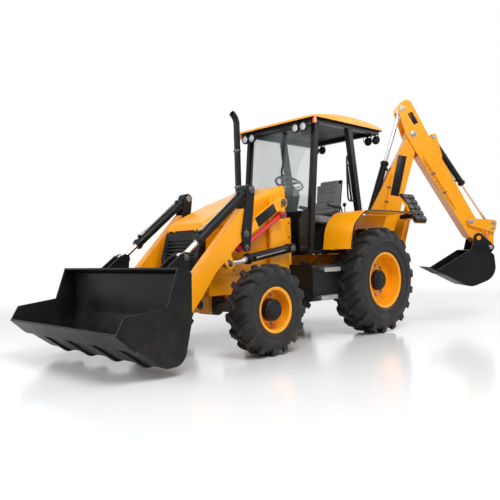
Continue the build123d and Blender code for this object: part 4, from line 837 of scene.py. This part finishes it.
for name, body, foot, eye, plane, length, radius, rod, pipeSide in ramSet:
    metal, dark = bmesh.new(), bmesh.new()
    wide, thin, long = radius / 1000, rod / 1000, length / 1000
    gland = [(thin + 0.002, 0.0), (wide + 0.010, 0.0), (wide + 0.012, 0.003), (wide + 0.012, 0.020),
             (wide + 0.010, 0.023), (wide + 0.002, 0.023), (wide + 0.002, 0.002), (thin + 0.002, 0.002)]
    wiper = [(thin + 0.0012, -0.002), (thin + 0.012, -0.002), (thin + 0.012, 0.004), (thin + 0.006, 0.010),
             (thin + 0.0012, 0.011)]
    band = [(wide - 0.001, -0.008), (wide + 0.0022, -0.008), (wide + 0.0022, 0.008), (wide - 0.001, 0.008)]
    for side in sides if isinstance(plane, int) else (1,):
        spot = ramPoint(plane, side)
        start, end = spot(*foot, 0), spot(*eye, 0)
        run = (end - start).normalized()
        over = spot(0, 0, 1) - spot(0, 0, 0)
        up = over.normalized() if name == "lift" else run.cross(over).normalized() * pipeSide * side
        added(dark, lathe(gland, 40, True), placed(start + run * (long - 0.046), run))
        added(metal, lathe(wiper, 32, True), placed(start + run * long, run))
        for count in range(6):
            turn = math.tau * count / 6
            lean = up * math.cos(turn) + run.cross(up) * math.sin(turn)
            notch = start + run * (long - 0.034) + lean * (wide + 0.011)
            added(dark, softBox((0.012, 0.016, 0.010), 0.002), placed(notch, lean))
        base, tip = start + run * (wide + 0.085), start + run * (long - 0.110)
        for where in (base, tip):
            added(dark, softBox((0.040, 0.034, 0.026), 0.004), framed(where + up * (wide + 0.008), run, up))
        added(metal, hexBolt(0.026, 0.016, 1.0), placed(tip + up * (wide + 0.020), up))
        line = [(tip, -0.010, 0.020), (tip, -0.075, 0.020), (tip, -0.12, 0.011),  # end of the barrel, way along, height
                (base, 0.16, 0.011), (base, 0.07, 0.014), (base, 0.010, 0.014)]
        added(metal, pipe([mark + run * way + up * (wide + high) for mark, way, high in line], 0.0075, 3, 8, 3))
        for share in (0.35, 0.68):
            added(dark, lathe(band, 40, True), placed(base.lerp(tip, share), run))
    keep(dark, name + "Fittings", body, "blackPaint", 32)
    keep(metal, name + "Pipe", body, "pinSteel", 40)
print("rams dressed")

# lamps: bezel, lens and yoke at each head
lampHigh = 2702
lampSpots = [(992, y, 1) for y in (400, 535, -400, -535)] + [(-596, y, -1) for y in (430, 565, -430, -565)]
bezels, lenses = bmesh.new(), bmesh.new()
ring = lathe([(0.047, 0.001), (0.0555, 0.001), (0.0575, -0.006), (0.0575, -0.018), (0.0565, -0.020), (0.0600, -0.020),
              (0.0610, -0.012), (0.0605, 0.003), (0.0575, 0.008), (0.0510, 0.009), (0.0480, 0.005)], 40, True)
dome = lathe([(0, 0.0125), (0.018, 0.0118), (0.034, 0.0090), (0.044, 0.0055), (0.049, 0.0020), (0.049, -0.001),
              (0, -0.001)], 40)
for x, y, facing in lampSpots:
    joined(bezels, ring, placed(at(x, y, lampHigh), (facing, 0, 0)))
    joined(lenses, dome, placed(at(x, y, lampHigh), (facing, 0, 0)))
    yoke = [(-66, 0), (-66, 58), (-40, 74), (40, 74), (66, 58), (66, 0)]
    added(bezels, pipe([at(x - facing * 30, y + dy, lampHigh + dz) for dy, dz in yoke], 0.005, 3, 6, 2))
ring.free()
dome.free()
keep(bezels, "lampBezels", "machine", "blackPlastic", 35)
keep(lenses, "lampLenses", "machine", "clearLens", 50)
low = at(0, 0, 2700).z
repaint("work_lamps", "amberLens", lambda face: abs(face.center.y - datum.y) > 0.62 and face.center.z > low)
print("lamps made")

# stabiliser feet: rubber blocks on the steel plate
footLean = math.radians(30)
for hand, sign in (("left", 1), ("right", -1)):
    line = Vector((0, math.sin(footLean) * sign, -math.cos(footLean)))
    outward = Vector((0, math.cos(footLean) * sign, math.sin(footLean)))
    corner = at(-1080, 800 * sign, 1905)
    repaint("stabiliser_" + hand, "tyreRubber",
            lambda face: (face.center - corner).dot(outward) > 0.0205 and (face.center - corner).dot(line) > -0.02)
print("feet painted")

# roof lining below the yellow skin
repaint("roof", "blackPlastic", lambda face: face.normal.z < -0.4)


# seat: pads swollen by a cloth run, then sewn channels pressed in
def baked(thing):
    deps = bpy.context.evaluated_depsgraph_get()
    return bpy.data.meshes.new_from_object(thing.evaluated_get(deps))


def padPiece(name, spec, finish):
    shape = softBox(spec["size"], spec["soft"], 4)
    mesh = bpy.data.meshes.new(name)
    shape.to_mesh(mesh)
    shape.free()
    pad = bpy.data.objects.new(name, mesh)
    scene.collection.objects.link(pad)
    even = pad.modifiers.new("even", "REMESH")
    even.mode = "VOXEL"
    even.voxel_size = spec.get("voxel", 0.006)
    mesh = baked(pad)
    pad.modifiers.clear()
    pad.data = mesh
    cloth = pad.modifiers.new("swell", "CLOTH")
    cloth.settings.quality = 4
    cloth.settings.use_pressure = True
    cloth.settings.uniform_pressure_force = 4.0
    cloth.settings.effector_weights.gravity = 0.0
    cloth.point_cache.frame_start = 1
    cloth.point_cache.frame_end = 20
    for step in range(1, 21):
        scene.frame_set(step)
    swollen = baked(pad)
    pad.modifiers.clear()
    half = spec["size"][2] / 2
    for vert, grown in zip(mesh.vertices, swollen.vertices):
        move = grown.co - vert.co
        far = min(move.length, spec["cap"])
        rest = max(0.0, min(1.0, (vert.co.z + half) / (half * 0.9)))
        if move.length > 1e-6:
            vert.co = vert.co + move.normalized() * far * rest
    bpy.data.meshes.remove(swollen)
    scene.frame_set(1)
    for vert in mesh.vertices:  # seams are pressed into the upper side
        if vert.co.z < 0:
            continue
        depth = 0.0
        for axis, places in spec["seams"].items():
            for place in places:
                gap = vert.co[axis] - place
                depth = max(depth, spec["seamDeep"] * math.exp(-(gap / 0.007) ** 2))
        vert.co.z -= depth
    mesh.transform(spec["place"])
    mesh.shade_smooth()
    mesh.materials.clear()
    mesh.materials.append(paint[finish])
    smooth = pad.modifiers.new("smooth", "SUBSURF")
    smooth.levels = 1
    smooth.render_levels = 1
    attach(pad, "machine")
    return pad


lean = tipped(81)
armRest = {"size": (0.30, 0.062, 0.042), "soft": 0.018, "cap": 0.010, "seams": {}, "seamDeep": 0.0, "voxel": 0.005}
padSet = {
    "seatCushion": {"size": (0.44, 0.44, 0.085), "soft": 0.030, "cap": 0.026, "seamDeep": 0.012,
                    "seams": {1: (-0.135, 0.135), 0: (-0.06, 0.09)}, "place": moved(105, 0, 1548) @ tipped(-3)},
    "seatBack": {"size": (0.50, 0.43, 0.080), "soft": 0.030, "cap": 0.024, "seamDeep": 0.012,
                 "seams": {1: (-0.13, 0.13), 0: (-0.10, 0.04, 0.14)}, "place": moved(-150, 0, 1850) @ lean},
    "headRest": {"size": (0.13, 0.30, 0.070), "soft": 0.030, "cap": 0.022, "seamDeep": 0.006,
                 "seams": {0: (0.0,)}, "place": moved(-205, 0, 2080) @ lean},
    "armRestLeft": {**armRest, "place": moved(40, 262, 1755) @ tipped(-6)},
    "armRestRight": {**armRest, "place": moved(40, -262, 1755) @ tipped(-6)},
}
for name, spec in padSet.items():
    pad = padPiece(name, spec, "darkCloth" if "arm" in name else "seatCloth")
    if name == "seatCushion":
        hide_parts("seat")
shell = bmesh.new()
added(shell, softBox((0.47, 0.475, 0.040), 0.014, 3), moved(100, 0, 1502))
added(shell, softBox((0.60, 0.40, 0.030), 0.013, 3), moved(-205, 0, 1850) @ lean)
for sign in sides:
    added(shell, softBox((0.16, 0.022, 0.13), 0.009, 3), moved(-130, sign * 226, 1590))
    arm = [(-150, 232, 1620), (-150, 262, 1690), (-110, 262, 1732), (120, 262, 1742)]
    added(shell, pipe([at(x, sign * y, z) for x, y, z in arm], 0.011, 3, 8, 3))
    added(shell, pipe([at(-188, sign * 70, 1980), at(-200, sign * 70, 2060)], 0.007, 2, 2, 3))
keep(shell, "seatShell", "machine", "blackPlastic", 40)
print("seat made")


# controls in the cab
def addLever(target, foot, tip, rod, ball):
    added(target, pipe([foot, foot.lerp(tip, 0.5) + Vector((0.012, 0, 0)), tip], rod, 3, 8, 4))
    boot = [(0, 0.060), (0.016, 0.060), (0.020, 0.054), (0.016, 0.048), (0.026, 0.040), (0.021, 0.033), (0.033, 0.024),
            (0.027, 0.017), (0.040, 0.007), (0.042, 0.0), (0, 0)]
    added(target, lathe(boot, 32), Matrix.Translation(foot), 1)
    knob = [(0, 1), (0.5, 0.88), (0.86, 0.5), (1, 0), (0.9, -0.5), (0.6, -0.95), (0.42, -1.2), (0, -1.2)]
    added(target, lathe([(ball * r, ball * z) for r, z in knob], 28), placed(tip, tip - foot), 1)


levers = bmesh.new()
leverSpots = [(-120, 350, 290, 0.027), (170, -345, 230, 0.026), (80, -345, 150, 0.018), (20, -345, 150, 0.018),
              (-150, -345, 260, 0.024)]  # x, y, height, knob
for x, y, rise, ball in leverSpots:
    addLever(levers, at(x, y, 1479), at(x + 16, y - math.copysign(14, y), 1480 + rise), 0.0075, ball)
keep(levers, "cabLevers", "machine", ["pinSteel", "blackPlastic"], 40)

panel = bmesh.new()
panelLean = 17
front = touch("dash", at(300, 0, 1730), (1, 0, 0)) + Vector((-0.002, 0, 0.01))
added(panel, softBox((0.05, 0.36, 0.17), 0.014, 3), Matrix.Translation(front) @ tipped(-panelLean))
gauge = [(0, 0.004), (0.034, 0.004), (0.036, 0.010), (0.042, 0.010), (0.044, 0.004), (0.044, -0.004), (0, -0.004)]
slant = Vector((-math.cos(math.radians(panelLean)), 0, math.sin(math.radians(panelLean))))
for y, turn in ((-0.095, 0.7), (0.0, 2.2), (0.095, 1.2)):
    spot = front + Vector((0, y, 0)) + slant * 0.025
    added(panel, lathe(gauge, 40), placed(spot, slant), 1)
    added(panel, softBox((0.026, 0.003, 0.002), 0.0006, 1), placed(spot + slant * 0.006, slant, turn), 2)
grip = [(0, 0.03), (0.008, 0.028), (0.010, 0.02), (0.010, -0.02), (0.006, -0.03), (0, -0.03)]
for sign in sides:
    stalk = [at(735, sign * 20, 1960), at(700, sign * 110, 1985), at(690, sign * 165, 1990)]
    added(panel, pipe(stalk, 0.006, 3, 6, 3))
    added(panel, lathe(grip, 20), placed(at(690, sign * 170, 1990), (0, sign, 0.05)))
keep(panel, "dashPanel", "machine", ["blackPlastic", "greyPlastic", "redPaint"], 35)

pedals = bmesh.new()
for y, shift in ((-150, 0), (-70, -10), (150, 0)):
    base = moved(800, y + shift, 1215) @ tipped(-52)
    added(pedals, softBox((0.100, 0.066, 0.010), 0.004), base)
    for count in range(5):
        rib = base @ Matrix.Translation((-0.036 + count * 0.018, 0, 0.006))
        added(pedals, softBox((0.006, 0.056, 0.006), 0.002, 1), rib)
    arm = [at(806, y + shift, 1212), at(850, y, 1200), at(880, y, 1160), at(880, y, 1122)]
    added(pedals, pipe(arm, 0.008, 3, 6, 3))
keep(pedals, "pedals", "machine", "blackPlastic", 35)

mat = bmesh.new()
added(mat, softBox((0.40, 1.10, 0.006), 0.002, 1), moved(540, 0, 1122))
for count in range(41):
    added(mat, softBox((0.38, 0.012, 0.006), 0.002, 1), moved(540, -520 + count * 26, 1127))
keep(mat, "floorMat", "machine", "tyreRubber", 35)

rails = bmesh.new()
inward, upward = Vector((0.01, 0, 0)), Vector((0, 0, 0.05))
for sign in sides:
    posts = [touch("canopy_frame", at(500, sign * 600, z), (-1, 0, 0)) for z in (1790, 1800, 2400, 2410)]
    out = Vector((0.075, sign * 0.006, 0))
    line = [posts[0] - inward, posts[0] + out * 0.7, posts[1] + out + upward, posts[2] + out - upward,
            posts[3] + out * 0.7, posts[3] - inward]
    added(rails, pipe(line, 0.012, 3, 10, 4))
keep(rails, "grabHandles", "machine", "blackPaint", 45)
print("cab dressed")


# windscreen: rubber seal along its edge, and the wiper
def onGlass(y, z, proud=0.0):
    return touch("windscreen", at(1700, y, z), (-1, 0, 0)) + Vector((proud, 0, 0))


seal = bmesh.new()
edge = [onGlass(y, 1632) for y in (-548, -300, 0, 300, 548)] + [onGlass(548, z) for z in (1900, 2200, 2500, 2740)]
edge += [onGlass(y, 2740) for y in (300, 0, -300, -548)] + [onGlass(-548, z) for z in (2500, 2200, 1900, 1640)]
added(seal, pipe(edge, 0.010, 2, 3, 3))
keep(seal, "glassSeal", "machine", "tyreRubber", 45)
wiper = bmesh.new()
hub = [(0, 0.040), (0.016, 0.038), (0.022, 0.030), (0.024, 0.0), (0, 0.0)]
added(wiper, lathe(hub, 28), placed(onGlass(120, 2690), (1, 0, 0.12)))
arm = [(120, 2690, 0.032), (118, 2600, 0.036), (112, 2400, 0.026), (110, 2330, 0.020)]
added(wiper, pipe([onGlass(*spot) for spot in arm], 0.0055, 3, 8, 3))
for y, proud, thick in ((116, 0.006, 0.0055), (113, 0.014, 0.004)):  # rubber, then its holder
    added(wiper, pipe([onGlass(y, z, proud) for z in (2560, 2420, 2280, 2120)], thick, 3, 8, 2))
keep(wiper, "wiper", "machine", "blackPlastic", 45)
print("glass dressed")

# steps, fender trim and lamps, filler cap, exhaust clamps
repaint("side_tanks", "treadSteel", lambda face: abs(face.center.y - datum.y) > 0.862)
trims = bmesh.new()
for sign in sides:
    line = [touch("fenders", at(x, sign * 1082, 2300), (0, 0, -1)) for x in (-740, -500, -200, 100, 350, 480)]
    line += [touch("fenders", at(1500, sign * 1082, z), (-1, 0, 0)) for z in (1480, 1380, 1260, 1140)]
    line = [spot + Vector((0, sign * 0.007, -0.003)) for spot in line if spot is not None]
    added(trims, pipe(line, 0.0085, 3, 8, 3))
keep(trims, "fenderTrim", "machine", "tyreRubber", 45)
tails = bmesh.new()
for sign in sides:
    added(tails, softBox((0.036, 0.200, 0.062), 0.010, 3), moved(-718, sign * 960, 1570))
    for shift, index in ((-62, 1), (0, 1), (62, 2)):  # two red lenses and an amber one
        added(tails, softBox((0.014, 0.054, 0.048), 0.006, 3), moved(-735, sign * (960 + shift), 1570), index)
    added(tails, softBox((0.03, 0.05, 0.03), 0.004), moved(-716, sign * 960, 1606))
keep(tails, "tailLamps", "machine", ["blackPlastic", "redLens", "amberLens"], 35)
caps = bmesh.new()
capLine = [(0, 0.052), (0.026, 0.052), (0.030, 0.047), (0.046, 0.045), (0.050, 0.040), (0.050, 0.014), (0.044, 0.012),
           (0.044, 0.0), (0, 0.0)]
added(caps, lathe(capLine, 48), moved(1160, 640, 949))
keep(caps, "fillerCap", "machine", "blackPlastic", 35)
clamps = bmesh.new()
band = [(0.0415, -0.014), (0.0455, -0.014), (0.0465, -0.010), (0.0465, 0.010), (0.0455, 0.014), (0.0415, 0.014)]
for z in (1500, 2000, 2480):
    added(clamps, lathe(band, 40, True), moved(1350, -315, z))
    added(clamps, softBox((0.020, 0.030, 0.022), 0.003), moved(1350, -368, z))
    added(clamps, hexBolt(0.014, 0.010), placed(at(1359, -370, z), (1, 0, 0)))
keep(clamps, "exhaustClamps", "machine", "darkSteel", 35)
print("body dressed")

# blank plates on the loader arms, the boom and the dipper
def armWay(reach, z):  # direction in the backhoe's plane
    return onArm(reach, 0, z) - onArm(0, 0, 0)


plateSet = [  # name, body, size, then start, way along and way out of each side
    ("armPlates", "loader_arms", (0.36, 0.118),
     [(at(1800, s * farOut, 1552), Vector((643, 0, -381)), Vector((0, s, 0))) for s in sides]),
    ("boomPlates", "boom", (0.64, 0.135),
     [(onArm(436, s * armFar, 2270), armWay(444, 2015), armSide * s) for s in sides]),
    ("dipperPlates", "dipper", (0.20, 0.075),
     [(onArm(672, s * armFar, 3160), armWay(1149, -2076), armSide * s) for s in sides]),
]
for name, body, size, rays in plateSet:
    whole = bmesh.new()
    for start, along, out in rays:
        added(whole, softBox((*size, 0.004), 0.0016), framed(touch(body, start, -out) + out * 0.001, along, out))
    keep(whole, name, body, "blackPaint", 40)


# steel pipes clipped to the sides of the boom and the dipper
def sidePipes(name, body, first, last, shares, offsets):
    whole = bmesh.new()
    run = Vector((last[0] - first[0], last[1] - first[1]))
    cross = Vector((-run.y, run.x)).normalized()
    for out in (armSide, -armSide):
        for offset in offsets:
            points = []
            for share in shares:
                spot = Vector(first) + run * share + cross * offset
                points.append(touch(body, onArm(spot.x, 0, spot.y) + out * armFar / 1000, -out) + out * 0.010)
            way = points[-1] - points[0]
            ends = [points[0] - out * 0.012] + points + [points[-1] - out * 0.012]
            added(whole, pipe(ends, 0.0085, 3, 8, 3))
            for spot in points[1:-1]:
                added(whole, softBox((0.030, 0.034, 0.022), 0.005), framed(spot, way, out), 1)
                added(whole, hexBolt(0.012, 0.007), placed(spot + out * 0.010, out), 1)
    keep(whole, name, body, ["yellowPaint", "darkSteel"], 40)


sidePipes("boomPipes", "boom", (230, 900), (674, 2915), (0.36, 0.46, 0.57, 0.68), (192, 214))
sidePipes("dipperPipes", "dipper", (674, 2915), (1658, 1253), (0.20, 0.36, 0.54, 0.70), (-52, -76))
print("plates and pipes made")


# weld beads: overlapping ripples round the cross tube of the loader arms
weld = {"x": 2815, "y": 517, "z": 826, "ring": 0.062, "drops": 60, "size": 0.0075}
dropLine = [(0, 0.8), (0.55, 0.62), (0.92, 0.2), (1, -0.2), (0, -0.3)]
drop = lathe([(weld["size"] * r, weld["size"] * z) for r, z in dropLine], 10)
welds = bmesh.new()
for sign in sides:
    for count in range(weld["drops"]):
        turn = math.tau * count / weld["drops"]
        aside = Vector((math.cos(turn), 0, math.sin(turn)))
        spot = at(weld["x"], sign * weld["y"], weld["z"]) + aside * weld["ring"]
        joined(welds, drop, placed(spot, aside + Vector((0, -sign * 0.8, 0))))
drop.free()
keep(welds, "armWelds", "loader_arms", "yellowPaint", 60)

# bolted cutting edge of the front bucket, seen from inside
edgeBolts = bmesh.new()
floorRun = Vector((486, 0, 352)).normalized()
inward = Vector((-352, 0, 486)).normalized()
bolt = hexBolt(0.034, 0.016, 1.5)
for count in range(10):
    start = at(4126, -1000 + count * 2000 / 9, 444) - floorRun * 0.11 + inward * 0.25
    seated(edgeBolts, bolt, "loader_bucket", start, inward, 0.2 * count)
bolt.free()
keep(edgeBolts, "edgeBolts", "loader_bucket", "darkSteel", 35)

# post feet with bolts, panel bolts
feet = bmesh.new()
bolt = hexBolt(0.020, 0.012)
for x, y in ((985, 580), (985, -580), (-150, 585), (-150, -585)):
    spot = at(x, y, 1126)
    added(feet, softBox((0.150, 0.110, 0.014), 0.004), Matrix.Translation(spot))
    for dx in (-0.058, 0.058):
        for dy in (-0.040, 0.040):
            joined(feet, bolt, placed(spot + Vector((dx, dy, 0.006)), (0, 0, 1), dx))
bolt.free()
keep(feet, "postFeet", "machine", "blackPaint", 35)
panelBolts = bmesh.new()
boltSpots = {
    "side_panels": [(1215, 1480), (1215, 1300), (1215, 1120), (1215, 940), (1700, 920), (2100, 920), (2440, 920),
                    (2440, 1150), (2440, 1340)],
    "cab_floor": [(1060, 1170), (1150, 1170), (1150, 1330), (1150, 1470), (1060, 1590)],
}
bolt = hexBolt(0.016, 0.008)
for solid, spots in boltSpots.items():
    for x, z in spots:
        for sign in sides:
            seated(panelBolts, bolt, solid, at(x, sign * farOut, z), (0, sign, 0), x)
bolt.free()
keep(panelBolts, "panelBolts", "machine", "darkSteel", 35)
print("bolts and welds made")
